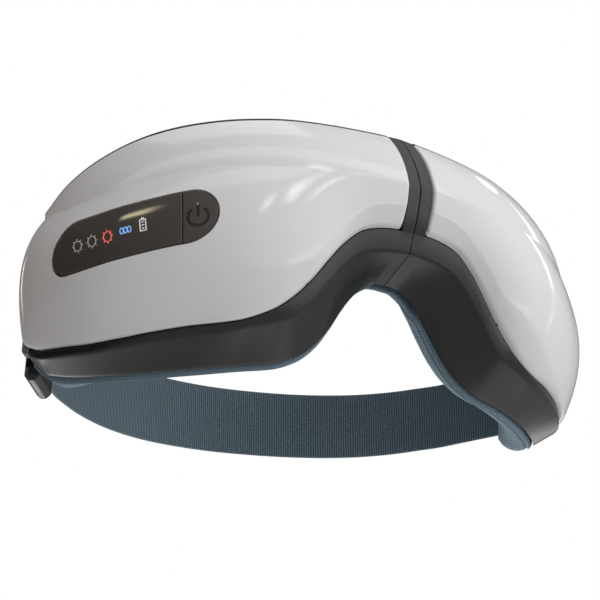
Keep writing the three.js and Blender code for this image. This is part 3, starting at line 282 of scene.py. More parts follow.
@dataclass
class Crown:
    """An arc of a section between two points, which bulges outwards and may swell further near its start."""

    start: np.ndarray
    end: np.ndarray
    radius: float
    into: np.ndarray
    swell: float = 0.0

    def __post_init__(self) -> None:
        """Works out the chord, the way out of the arc and its centre."""
        chord = self.end - self.start
        level = float(chord @ self.into)
        self.length = float(np.linalg.norm(chord))
        out = chord[2] * self.into - level * UP
        self.out = out / np.linalg.norm(out)
        self.chord = chord / self.length
        self.centre = math.sqrt(self.radius**2 - (self.length / 2) ** 2)

    def points(self, shares: np.ndarray, depth: float = 0.0) -> np.ndarray:
        """Points at shares of the chord, moved in by a depth."""
        along = (np.asarray(shares, float) - 0.5) * self.length
        rise = np.sqrt(self.radius**2 - along**2)
        middle = (self.start + self.end) / 2 - self.out * self.centre
        given = np.asarray(shares, float)
        swell = self.swell * SWELL_SCALE * given * (1 - given) ** 2
        reach = np.stack((along, rise), axis=1) * (1 - depth / self.radius)
        reach[:, 1] += swell
        return middle + reach[:, :1] * self.chord + reach[:, 1:] * self.out

    def share_at(self, height: float) -> float:
        """The share of the chord where the arc is at a height."""
        shares = np.linspace(0, 1, CHORD_SAMPLES)
        return float(np.interp(-height, -self.points(shares)[:, 2], shares))


def crowns(station: Station) -> tuple[Crown, Crown]:
    """The section's arcs at a station: above the crease and below it."""
    into, fold = inward(station), CREASE.point(station)
    upper = Crown(TOP_EDGE.point(station), fold, UPPER_CROWN_RADIUS, into)
    return upper, Crown(fold, LOWER_EDGE.point(station), CROWN_RADIUS, into, SWELL(station.angle))


def offset(line: np.ndarray, distance: float | np.ndarray, station: Station) -> np.ndarray:
    """A section's line moved into the housing, square to itself.

    Args:
        line: Its points, from the top down.
        distance: How far, for all points or for each.
        station: Where the section is.

    Returns:
        The moved points.
    """
    into = inward(station)
    steps = np.diff(line, axis=0)
    level = steps @ into
    length = np.hypot(level, steps[:, 2])
    normals = np.stack((-steps[:, 2] / length, level / length), axis=1)
    before = np.vstack((normals[:1], normals))
    after = np.vstack((normals, normals[-1:]))
    spread = 1 + (before * after).sum(axis=1)
    move = (before + after) / spread[:, None] * np.broadcast_to(distance, len(line))[:, None]
    return line + move[:, :1] * into + move[:, 1:] * UP


def sunk(distance: float | np.ndarray, radius: float) -> np.ndarray:
    """How far a rounded edge has sunk at a distance from it."""
    gap = np.clip(radius - np.asarray(distance, float), 0, radius)
    return radius - np.sqrt(radius**2 - gap**2)


def marks(length: float, near: Sequence[float], far: Sequence[float], count: int) -> np.ndarray:
    """Places from 0 to a length, at given distances from its ends and evenly between them."""
    start = np.array(near, float) * min(1.0, length / 3 / near[-1])
    end = np.array(far, float) * min(1.0, length / 3 / far[-1])
    middle = np.linspace(start[-1], length - end[-1], count + 2)[1:-1]
    return np.concatenate((start, middle, length - end[::-1]))


@dataclass
class BackLine:
    """The line across the housing's open back at a station, from the top rim down."""

    station: Station

    def __post_init__(self) -> None:
        """Works out its ends, its length and its two directions."""
        into = inward(self.station)
        self.high, self.low = top_rim(self.station), RIM.point(self.station)
        across = self.low - self.high
        level = float(across @ into)
        self.length = math.hypot(level, across[2])
        self.down = into * (level / self.length) + UP * (across[2] / self.length)
        self.back = into * (-across[2] / self.length) + UP * (level / self.length)

    def point(self, along: float, depth: float) -> np.ndarray:
        """A point at a distance down the line and a depth behind it."""
        return self.high + self.down * along + self.back * depth


def place_on_back(angle: float, share: float) -> tuple[np.ndarray, np.ndarray]:
    """A place on the open back.

    Args:
        angle: Its plan angle.
        share: Its height, as a share of the height between the rims.

    Returns:
        The point, and the level direction along the back.
    """
    line = BackLine(Station(angle))
    height = line.low[2] + (line.high[2] - line.low[2]) * share

    def at(near: float) -> np.ndarray:
        """The back's point at that height and another angle."""
        other = BackLine(Station(near))
        drop = (other.high[2] - height) / (other.high[2] - other.low[2])
        return other.point(drop * other.length, 0)

    beside = 0.5
    step = at(angle + beside) - at(angle - beside)
    tangent = np.array((step[0], step[1], 0.0))
    return at(angle), tangent / np.linalg.norm(tangent)


def only(obj: Object) -> Object:
    """Selects one object alone and makes it active."""
    bpy.ops.object.select_all(action="DESELECT")
    obj.select_set(True)
    bpy.context.view_layer.objects.active = obj
    return obj


def smoothed(obj: Object, angle: float = 32.0) -> Object:
    """Shades an object smooth, with edges sharper than an angle kept sharp."""
    only(obj)
    bpy.ops.object.shade_smooth_by_angle(angle=math.radians(angle))
    return obj


def applied(obj: Object, kind: str, **settings: object) -> Object:
    """Adds a modifier with its settings and applies it."""
    modifier = obj.modifiers.new(kind.lower(), kind)
    for name, value in settings.items():
        setattr(modifier, name, value)
    only(obj)
    bpy.ops.object.modifier_apply(modifier=modifier.name)
    return obj


def to_frame(points: np.ndarray) -> np.ndarray:
    """Points in millimetres from the crease, as points of the frame in metres."""
    return (np.asarray(points, float).reshape(-1, 3) - (0.0, ORIGIN_Y, 0.0)) * MM


def shaped(name: str, points: np.ndarray, faces: list[list[int]]) -> Object:
    """An object with a mesh, its doubles merged and its faces turned outwards.

    Args:
        name: The piece's name.
        points: Its vertices, in millimetres.
        faces: The vertices of each face.

    Returns:
        The object, shaded smooth.
    """
    mesh = bpy.data.meshes.new(name)
    mesh.from_pydata(to_frame(points).tolist(), [], faces)
    work = bmesh.new()
    work.from_mesh(mesh)
    bmesh.ops.remove_doubles(work, verts=work.verts, dist=DOUBLES)
    bmesh.ops.recalc_face_normals(work, faces=work.faces)
    work.to_mesh(mesh)
    work.free()
    obj = bpy.data.objects.new(name, mesh)
    bpy.context.scene.collection.objects.link(obj)
    return smoothed(obj)


def lofted(name: str, rings: Sequence[np.ndarray], looped: bool = False) -> Object:
    """A solid through closed rings.

    The points are taken in lots of the first ring's size, so rings of another size make its lines slant.

    Args:
        name: The piece's name.
        rings: The rings, in order.
        looped: Whether the last ring joins the first. Otherwise both ends are closed.

    Returns:
        The object.
    """
    size = len(rings[0])
    faces = []
    for i in range(len(rings) if looped else len(rings) - 1):
        here, there = i * size, (i + 1) % len(rings) * size
        for j in range(size):
            k = (j + 1) % size
            faces.append([here + j, here + k, there + k, there + j])
    if not looped:
        for i in (0, len(rings) - 1):
            outline = [Vector(point) for point in rings[i]]
            faces += [[i * size + corner for corner in face] for face in tessellate_polygon([outline])]
    return shaped(name, np.concatenate(rings), faces)


def mirrored(obj: Object, name: str) -> Object:
    """A copy of an object on the other side of the seam, with its own mesh."""
    copy = obj.copy()
    copy.data = obj.data.copy()
    copy.name = copy.data.name = name
    bpy.context.scene.collection.objects.link(copy)
    copy.data.transform(Matrix.Diagonal((-1, 1, 1, 1)))
    copy.data.flip_normals()
    return smoothed(copy)


def block(size: Sequence[float], middle: Sequence[float] = (0, 0, 0)) -> Object:
    """A cuboid with a size and a middle, in metres."""
    bpy.ops.object.select_all(action="DESELECT")
    bpy.ops.mesh.primitive_cube_add(size=1)
    obj = bpy.context.object
    obj.data.transform(Matrix.LocRotScale(Vector(middle), None, Vector(size)))
    return obj


def rod(radius: float, length: float, sides: int, place: Matrix) -> Object:
    """A cylinder that stood along Z, moved to its place, in metres."""
    bpy.ops.object.select_all(action="DESELECT")
    bpy.ops.mesh.primitive_cylinder_add(vertices=sides, radius=radius, depth=length)
    obj = bpy.context.object
    obj.data.transform(place)
    return obj


def combined(obj: Object, operation: str, *tools: Object) -> Object:
    """Joins tools to an object or takes them out of it, and removes the tools."""
    for tool in tools:
        applied(obj, "BOOLEAN", operation=operation, solver="EXACT", object=tool)
        bpy.data.objects.remove(tool)
    return obj


def cut(obj: Object, *tools: Object) -> Object:
    """Cuts tools out of an object. The object's own faces keep their smooth shading."""
    before = obj.data.copy()
    normals = [vertex.normal.copy() for vertex in before.vertices]
    tree = BVHTree.FromPolygons([v.co for v in before.vertices], [list(p.vertices) for p in before.polygons])
    smoothed(combined(obj, "DIFFERENCE", *tools))
    mesh = obj.data
    corners = [corner.vector.copy() for corner in mesh.corner_normals]
    for polygon in mesh.polygons:
        for loop in polygon.loop_indices:
            place = mesh.vertices[mesh.loops[loop].vertex_index].co
            _, _, index, _ = tree.find_nearest(place)
            around = [(before.vertices[v].co - place, normals[v]) for v in before.polygons[index].vertices]
            weights = [1 / (away.length + TINY) for away, _ in around]
            old = sum((normal * w for (_, normal), w in zip(around, weights)), Vector()).normalized()
            if old.dot(polygon.normal) > STILL_SMOOTH:
                corners[loop] = old
    mesh.normals_split_custom_set(corners)
    bpy.data.meshes.remove(before)
    return obj


def mapped(obj: Object, places: np.ndarray) -> Object:
    """Gives an object the weave's UV map, with a place for each vertex."""
    layer = obj.data.uv_layers.new(name=WEAVE_MAP)
    corners = np.zeros(len(obj.data.loops), np.int32)
    obj.data.loops.foreach_get("vertex_index", corners)
    layer.data.foreach_set("uv", np.asarray(places, np.float32)[corners].ravel())
    return obj


# Shader nodes.


class Shader:
    """A node tree that is built by short calls."""

    def __init__(self, tree: bpy.types.NodeTree) -> None:
        """Starts with the tree's nodes cleared."""
        self.tree = tree
        tree.nodes.clear()

    def node(self, kind: str, values: dict[str | int, object] | None = None,
             **settings: object) -> Node:
        """Adds a node.

        Args:
            kind: Its type, without the ShaderNode prefix.
            values: Its inputs by name or number: a value, or a socket to link.
            settings: Its properties.

        Returns:
            The node.
        """
        made = self.tree.nodes.new(kind if kind.startswith("Node") else "ShaderNode" + kind)
        for name, value in settings.items():
            setattr(made, name, value)
        for name, value in (values or {}).items():
            socket = made.inputs[name]
            if isinstance(value, Socket):
                self.tree.links.new(value, socket)
            elif socket.type == "RGBA" and len(value) == 3:
                socket.default_value = (*value, 1)
            else:
                socket.default_value = value
        return made

    def maths(self, operation: str, a: object, b: object = 0.0) -> Socket:
        """The result of a sum on two numbers or sockets."""
        return self.node("Math", {0: a, 1: b}, operation=operation).outputs[0]

    def noise(self, vector: object, scale: object, detail: float = 2.0) -> Socket:
        """Noise between 0 and 1, by its scale and its detail."""
        return self.node("TexNoise", {"Vector": vector, "Scale": scale, "Detail": detail}).outputs[0]

    def swing(self, value: object, amount: object) -> Socket:
        """A value between 0 and 1, moved round zero and scaled."""
        return self.maths("MULTIPLY", self.maths("SUBTRACT", value, 0.5), amount)

    def place(self) -> Socket:
        """The place in the object's own coordinates."""
        return self.node("TexCoord").outputs["Object"]

    def from_half(self, value: object) -> Socket:
        """How far a value is from one half."""
        return self.maths("ABSOLUTE", self.maths("SUBTRACT", value, 0.5))

    def mixed(self, share: object, a: object, b: object) -> Socket:
        """A colour between two."""
        first_colour, second_colour, mixed_colour = 6, 7, 2
        values = {"Factor": share, first_colour: a, second_colour: b}
        return self.node("Mix", values, data_type="RGBA").outputs[mixed_colour]

    def ranged(self, value: object, low: float, high: float, start: float = 0.0,
               end: float = 1.0) -> Socket:
        """A value moved from one range to another and held there."""
        values = {"Value": value, "From Min": low, "From Max": high, "To Min": start, "To Max": end}
        return self.node("MapRange", values).outputs[0]


@dataclass(frozen=True)
class Effect:
    """An effect that several materials share, as a node group."""

    name: str
    inputs: tuple[tuple[str, str], ...]
    outputs: tuple[tuple[str, str], ...]
    build: Callable[[Shader, Node], dict[str, Socket]]

    def group(self) -> bpy.types.NodeTree:
        """The group, built when it is first asked for."""
        if self.name in bpy.data.node_groups:
            return bpy.data.node_groups[self.name]
        tree = bpy.data.node_groups.new(self.name, "ShaderNodeTree")
        for direction, sockets in (("INPUT", self.inputs), ("OUTPUT", self.outputs)):
            for name, kind in sockets:
                tree.interface.new_socket(name, in_out=direction, socket_type="NodeSocket" + kind)
        shader = Shader(tree)
        results = self.build(shader, shader.node("NodeGroupInput"))
        shader.node("NodeGroupOutput", results)
        return tree

    def placed(self, shader: Shader, values: dict[str, object]) -> Node:
        """The group as a node of a material, with its values."""
        return shader.node("Group", values, node_tree=self.group())


def build_moulding(shader: Shader, given: Node) -> dict[str, Socket]:
    """Moulded plastic: slow drifts of tone, smudges in the gloss, and a fine grain."""
    vector = given.outputs["Vector"]
    drift = shader.noise(vector, scale=22.0)
    smudge = shader.noise(vector, scale=160.0, detail=4.0)
    grain = shader.noise(vector, given.outputs["Grain Scale"], detail=3.0)
    drift_height = 0.4
    bright = shader.maths("ADD", 1.0, shader.swing(drift, given.outputs["Drift"]))
    colour = shader.node("VectorMath", {0: given.outputs["Base"], "Scale": bright}, operation="SCALE")
    spread = shader.swing(smudge, given.outputs["Smudge"])
    return {
        "Color": colour.outputs[0],
        "Roughness": shader.maths("ADD", given.outputs["Gloss"], spread),
        "Height": shader.maths("ADD", grain, shader.maths("MULTIPLY", drift, drift_height)),
    }


def build_wear(shader: Shader, given: Node) -> dict[str, Socket]:
    """Rubbed edges: a mask that is strongest on sharp ridges, broken up by noise."""
    ridge = shader.node("NewGeometry").outputs["Pointiness"]
    broken = shader.noise(given.outputs["Vector"], scale=700.0)
    mask = shader.ranged(ridge, low=0.52, high=0.62)
    rough = shader.maths("MULTIPLY", mask, shader.ranged(broken, low=0.35, high=0.65, start=0.3))
    return {"Mask": shader.maths("MULTIPLY", rough, given.outputs["Strength"])}


def build_ribs(shader: Shader, given: Node) -> dict[str, Socket]:
    """Ribbed elastic: cords across the band, bound by rows of short stitches that alternate."""
    across = shader.node("SeparateXYZ", {0: given.outputs["Vector"]})
    rib = shader.maths("DIVIDE", across.outputs[0], given.outputs["Pitch"])
    row = shader.maths("DIVIDE", across.outputs[1], given.outputs["Stitch"])
    row_shift, fuzz_tone, fuzz_height = 0.5, 0.35, 0.2
    parity = shader.maths("MODULO", shader.maths("FLOOR", rib), 2.0)
    shifted = shader.maths("ADD", row, shader.maths("MULTIPLY", parity, row_shift))
    cord = shader.from_half(shader.maths("FRACT", rib))
    dash = shader.from_half(shader.maths("FRACT", shifted))
    ridge = shader.ranged(cord, low=0.12, high=0.46, start=1.0, end=0.0)
    stitch = shader.ranged(dash, low=0.1, high=0.45, start=1.0, end=0.55)
    weave = shader.maths("MULTIPLY", ridge, stitch)
    fuzz = shader.noise(given.outputs["Vector"], scale=9000.0)
    # Painted shade: the colour follows the weave's height and is darker in the grooves between the cords and
    # between the stitches. The fuzz adds random tone.
    lit = shader.maths("ADD", weave, shader.swing(fuzz, fuzz_tone))
    return {
        "Color": shader.mixed(lit, given.outputs["Dark"], given.outputs["Light"]),
        "Height": shader.maths("ADD", weave, shader.maths("MULTIPLY", fuzz, fuzz_height)),
    }


def build_knit(shader: Shader, given: Node) -> dict[str, Socket]:
    """Fine knitted cloth: two crossed sets of threads with fuzz over them."""
    vector = given.outputs["Vector"]
    waves = {"Vector": vector, "Scale": given.outputs["Scale"], "Distortion": 0.8}
    warp, weft = (shader.node("TexWave", waves, bands_direction=way).outputs[1] for way in ("X", "Z"))
    fuzz = shader.noise(vector, scale=2600.0, detail=4.0)
    slow = shader.noise(vector, scale=60.0, detail=3.0)
    share = 0.5
    threads = shader.maths("MULTIPLY", warp, weft)
    # Painted shade: the colour follows the threads' height and is darker in the gaps between them. The fuzz
    # and the slow noise add random tone.
    lit = shader.maths("ADD", *(shader.maths("MULTIPLY", part, share) for part in (threads, fuzz)))
    toned = shader.maths("ADD", lit, shader.swing(slow, share))
    return {
        "Color": shader.mixed(toned, given.outputs["Dark"], given.outputs["Light"]),
        "Height": shader.maths("ADD", threads, fuzz),
    }


MOULDING = Effect(
    "moulding",
    (("Vector", "Vector"), ("Base", "Color"), ("Drift", "Float"), ("Gloss", "Float"), ("Smudge", "Float"),
     ("Grain Scale", "Float")),
    (("Color", "Color"), ("Roughness", "Float"), ("Height", "Float")),
    build_moulding,
)
WEAR = Effect("edge_wear", (("Vector", "Vector"), ("Strength", "Float")), (("Mask", "Float"),), build_wear)
RIBS = Effect(
    "ribbed_elastic",
    (("Vector", "Vector"), ("Pitch", "Float"), ("Stitch", "Float"), ("Dark", "Color"), ("Light", "Color")),
    (("Color", "Color"), ("Height", "Float")),
    build_ribs,
)
KNIT = Effect(
    "knitted_cloth",
    (("Vector", "Vector"), ("Scale", "Float"), ("Dark", "Color"), ("Light", "Color")),
    (("Color", "Color"), ("Height", "Float")),
    build_knit,
)


def blank(name: str) -> tuple[bpy.types.Material, Shader]:
    """A material with an empty node tree."""
    material = bpy.data.materials.new(name)
    material.use_nodes = True
    return material, Shader(material.node_tree)


def surfaced(shader: Shader, values: dict[str, object], height: object = None, relief: float = 0.0) -> None:
    """Ends a material with a principled shader.

    Args:
        shader: The material's tree.
        values: The shader's inputs.
        height: What its bump follows, if anything.
        relief: The bump's depth, in metres.
    """
    if height is not None:
        bump = shader.node("Bump", {"Height": height, "Strength": 1.0, "Distance": relief})
        values = {**values, "Normal": bump.outputs[0]}
    shader.node("OutputMaterial", {0: shader.node("BsdfPrincipled", values).outputs[0]})


Surface = tuple[dict[str, object], Socket, float]


class Finish:
    """A finish, which makes a material from its own surface."""

    def surface(self, shader: Shader) -> Surface:
        """The principled shader's inputs, what its bump follows, and the bump's depth in metres."""
        raise NotImplementedError

    def material(self, name: str) -> bpy.types.Material:
        """The material of this finish."""
        material, shader = blank(name)
        surfaced(shader, *self.surface(shader))
        return material


def moulding(shader: Shader, vector: object, base: object, drift: float, gloss: float, smudge: float,
             grain_scale: float) -> Node:
    """The moulding effect in a material: its colour, its roughness and its height."""
    return MOULDING.placed(shader, {"Vector": vector, "Base": base, "Drift": drift, "Gloss": gloss,
                                    "Smudge": smudge, "Grain Scale": grain_scale})


@dataclass(frozen=True)
class Moulded(Finish):
    """Moulded plastic, rubber or paint."""

    colour: Colour
    gloss: float
    smudge: float = 0.04
    drift: float = 0.05
    grain_scale: float = 900.0
    relief: float = 0.00001
    coat: float = 0.0
    wear: float = 0.0
    wear_colour: Colour = (0.3, 0.3, 0.3)
    clear: float = 0.0
    glow: float = 0.0

    def surface(self, shader: Shader) -> Surface:
        """The inputs, the height and the relief of this finish."""
        vector = shader.place()
        surface = moulding(shader, vector, self.colour, self.drift, self.gloss, self.smudge,
                           self.grain_scale)
        colour = surface.outputs["Color"]
        if self.wear:
            mask = WEAR.placed(shader, {"Vector": vector, "Strength": self.wear}).outputs[0]
            colour = shader.mixed(mask, colour, self.wear_colour)
        values = {
            "Base Color": colour, "Roughness": surface.outputs["Roughness"], "Coat Weight": self.coat,
            "Coat Roughness": 0.03, "IOR": 1.5, "Transmission Weight": self.clear,
        }
        if self.glow:
            values |= {"Emission Color": colour, "Emission Strength": self.glow}
        return values, surface.outputs["Height"], self.relief


@dataclass(frozen=True)
class Metal(Finish):
    """Turned or pressed metal with fine lines along it."""

    colour: Colour
    gloss: float = 0.3
    relief: float = 0.00001

    def surface(self, shader: Shader) -> Surface:
        """The inputs, the height and the relief of this finish."""
        vector = shader.place()
        drawn = shader.node("Mapping", {"Vector": vector, "Scale": (1.0, 1.0, 12.0)}).outputs[0]
        surface = moulding(shader, drawn, self.colour, drift=0.12, gloss=self.gloss, smudge=0.2,
                           grain_scale=1500.0)
        values = {"Base Color": surface.outputs["Color"], "Roughness": surface.outputs["Roughness"],
                  "Metallic": 1.0}
        return values, surface.outputs["Height"], self.relief


@dataclass(frozen=True)
class Webbing(Finish):
    """Ribbed elastic, whose ribs follow the piece's own UV map in metres."""

    # dark is the colour painted into the grooves as shade, and light is the colour of the ridges.
    dark: Colour
    light: Colour
    pitch: float
    stitch: float
    relief: float = 0.00018

    def surface(self, shader: Shader) -> Surface:
        """The inputs, the height and the relief of this finish."""
        vector = shader.node("UVMap", uv_map=WEAVE_MAP).outputs[0]
        ribs = RIBS.placed(shader, {"Vector": vector, "Pitch": self.pitch, "Stitch": self.stitch,
                                    "Dark": self.dark, "Light": self.light})
        values = {"Base Color": ribs.outputs["Color"], "Roughness": 0.82, "Sheen Weight": 0.25,
                  "Sheen Roughness": 0.5, "Sheen Tint": (0.55, 0.65, 0.72, 1)}
        return values, ribs.outputs["Height"], self.relief


@dataclass(frozen=True)
class Cloth(Finish):
    """Fine knitted cloth over foam."""

    # dark is the colour painted into the gaps between the threads as shade, and light is the colour of the
    # threads.
    dark: Colour
    light: Colour
    scale: float
    relief: float = 0.00012

    def surface(self, shader: Shader) -> Surface:
        """The inputs, the height and the relief of this finish."""
        vector = shader.place()
        knit = KNIT.placed(shader, {"Vector": vector, "Scale": self.scale, "Dark": self.dark,
                                    "Light": self.light})
        values = {"Base Color": knit.outputs["Color"], "Roughness": 0.85, "Sheen Weight": 0.3,
                  "Sheen Roughness": 0.45, "Sheen Tint": (0.55, 0.68, 0.76, 1)}
        return values, knit.outputs["Height"], self.relief


@dataclass(frozen=True)
class Printed(Finish):
    """A board or film with lines printed over its own colour."""

    colour: Colour
    line: Colour
    scale: float
    gloss: float = 0.4
    relief: float = 0.00002

    def surface(self, shader: Shader) -> Surface:
        """The inputs, the height and the relief of this finish."""
        vector = shader.place()
        cells = shader.node("TexBrick", {"Vector": vector, "Scale": self.scale, "Mortar Size": 0.035,
                                         "Color1": (0, 0, 0), "Color2": (0, 0, 0), "Mortar": (1, 1, 1)})
        printed = shader.mixed(cells.outputs[0], self.colour, self.line)
        surface = moulding(shader, vector, printed, drift=0.15, gloss=self.gloss, smudge=0.1,
                           grain_scale=1200.0)
        values = {"Base Color": surface.outputs["Color"], "Roughness": surface.outputs["Roughness"]}
        return values, surface.outputs["Height"], self.relief


FINISHES = {
    Slot.WHITE_SHELL: Moulded((0.78, 0.775, 0.77), 0.05, smudge=0.015, drift=0.02, grain_scale=60.0),
    Slot.DARK_HOUSING: Moulded((0.014, 0.0138, 0.0133), 0.3, smudge=0.05, grain_scale=3000.0,
                               relief=0.000004),
    Slot.DISPLAY_PLASTIC: Moulded((0.07, 0.063, 0.054), 0.08, smudge=0.02, grain_scale=80.0,
                                  relief=0.000005),
    Slot.FACE_LINING: Cloth((0.095, 0.145, 0.18), (0.2, 0.29, 0.35), 420.0),
    Slot.STRAP_WEBBING: Webbing((0.058, 0.088, 0.11), (0.2, 0.285, 0.345), 0.00088, 0.0011),
    Slot.BLACK_PLASTIC: Moulded((0.008, 0.008, 0.0085), 0.42, smudge=0.1, grain_scale=2600.0,
                                relief=0.00002, wear=0.3, wear_colour=(0.09, 0.09, 0.09)),
    Slot.INNER_PLASTIC: Moulded((0.05, 0.05, 0.055), 0.5, smudge=0.1, grain_scale=2000.0, relief=0.00002),
    Slot.CIRCUIT_BOARD: Printed((0.012, 0.11, 0.05), (0.35, 0.3, 0.12), 260.0),
    Slot.BATTERY_WRAP: Moulded((0.05, 0.16, 0.42), 0.3, smudge=0.12, grain_scale=500.0, coat=0.2),
    Slot.HEATER_FILM: Printed((0.42, 0.16, 0.03), (0.6, 0.42, 0.2), 180.0),
    Slot.AIRBAG_RUBBER: Moulded((0.2, 0.21, 0.23), 0.45, smudge=0.12, grain_scale=1500.0, relief=0.00002),
    Slot.CLEAR_TUBE: Moulded((0.75, 0.77, 0.75), 0.25, clear=0.6),
    Slot.STEEL: Metal((0.55, 0.56, 0.57)),
    Slot.BRASS: Metal((0.62, 0.44, 0.18), gloss=0.32),
}


class Wardrobe:
    """The materials of the slots, each made when it is first worn."""

    def __init__(self) -> None:
        """Starts with no material made."""
        self.made: dict[Slot, bpy.types.Material] = {}

    def dress(self, obj: Object, slot: Slot) -> Object:
        """Gives an object a slot's material alone, and names the slot."""
        if slot not in self.made:
            self.made[slot] = FINISHES[slot].material(slot.value)
        obj.data.materials.clear()
        obj.data.materials.append(self.made[slot])
        return obj


# Sub-assemblies.


@dataclass
class FrontShell:
    """The white shell on the front of each half."""

    top_radius: float = 0.5
    low_radius: float = 2.0
    seam_radius: float = 0.9
    corner_radius: float = 1.2
    shoulder: float = 8.0
    shoulder_blend: float = 0.6
    shoulder_slope: float = 0.1
    least_wall: float = 0.1
    shoulder_fade: Keys = ((0, 1), (20, 1), (30, 0), (90, 0))
    near: tuple[float, ...] = (0, 0.05, 0.15, 0.3, 0.55, 0.9, 1.4)
    fold: tuple[float, ...] = (0, 0.22, 0.5, 1.0)
    upper_points: int = 12
    lower_points: int = 30
    body_stations: int = 120
    bridge_steps: tuple[float, ...] = (0, 0.03, 0.1, 0.22, 0.4, 0.65, 0.95, 1.4, 2.0)
    temple_steps: tuple[float, ...] = (1.1, 0.7, 0.42, 0.22, 0.1, 0.03, 0)
    body_gaps: tuple[float, float] = (0.6, 1.6)

    def stations(self) -> list[Station]:
        """Stations from the bridge to the temple, close together at both rounded ends."""
        edge = [at_x(BAND_HALF_WIDTH + step) for step in self.bridge_steps]
        after, before = self.body_gaps
        body = between(edge[-1].angle + after, TEMPLE_ANGLE - before, self.body_stations)
        return edge + body + [Station(TEMPLE_ANGLE - step) for step in self.temple_steps]

    def ring(self, station: Station) -> np.ndarray:
        """The shell's closed section at a station."""
        upper, lower = crowns(station)
        from_seam = (station.x or HALF_WIDTH) - BAND_HALF_WIDTH
        cap = math.radians(TEMPLE_ANGLE - station.angle) * PLAN_DEPTH
        lift = float(sunk(from_seam, self.corner_radius))
        above = marks(upper.length, self.near, self.fold, self.upper_points)
        below = marks(lower.length - lift, self.fold, self.near, self.lower_points)
        line = np.vstack((upper.points(above / upper.length), lower.points(below / lower.length)[1:]))
        run = np.concatenate(((0,), np.cumsum(np.linalg.norm(np.diff(line, axis=0), axis=1))))
        left = run[-1] - run
        depth = sunk(run, self.top_radius) + sunk(left, self.low_radius)
        bend = np.hypot(np.maximum(self.shoulder - left, 0), self.shoulder_blend) - self.shoulder_blend
        depth = depth + bend * self.shoulder_slope * through(self.shoulder_fade)(station.angle)
        ends = sunk(from_seam, self.seam_radius) + sunk(cap, self.seam_radius)
        depth = np.minimum(depth + ends, SHELL_WALL - self.least_wall)
        inner = offset(line, SHELL_WALL, station)
        return np.vstack((offset(line, depth, station), inner[::-1]))

    def build(self, wardrobe: Wardrobe, panel: "Panel") -> None:
        """Builds both shells. The left one is cut for the display."""
        right = lofted("shell_right", [self.ring(station) for station in self.stations()])
        left = mirrored(right, "shell_left")
        cut(left, panel.cutter("display_cutter", -SHELL_WALL, 2 * SHELL_WALL, CLEARANCE))
        for obj, side in ((left, Side.LEFT), (right, Side.RIGHT)):
            wardrobe.dress(obj, Slot.WHITE_SHELL)
            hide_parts(f"{side.name.lower()}_front_shell")
            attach(obj, side.body)
            log.info("%s: %d faces", obj.name, len(obj.data.polygons))


def rounded(corners: Sequence[tuple[np.ndarray, float]], steps: int = 4, most: float = 0.45) -> np.ndarray:
    """A closed line through corners, each rounded by its own radius.

    Args:
        corners: Each corner and its radius, 0 where the line just passes through.
        steps: Steps round each rounded corner.
        most: The largest share of a side that its rounding takes up.

    Returns:
        The line's points.
    """
    points = []
    for i, (corner, radius) in enumerate(corners):
        if radius == 0:
            points.append(corner)
            continue
        ends = []
        for other in (corners[i - 1][0], corners[(i + 1) % len(corners)][0]):
            way = other - corner
            length = np.linalg.norm(way)
            ends.append(corner + way / length * min(radius, most * length))
        for t in np.linspace(0, 1, steps + 1):
            points.append((1 - t) ** 2 * ends[0] + 2 * t * (1 - t) * corner + t**2 * ends[1])
    return np.array(points)


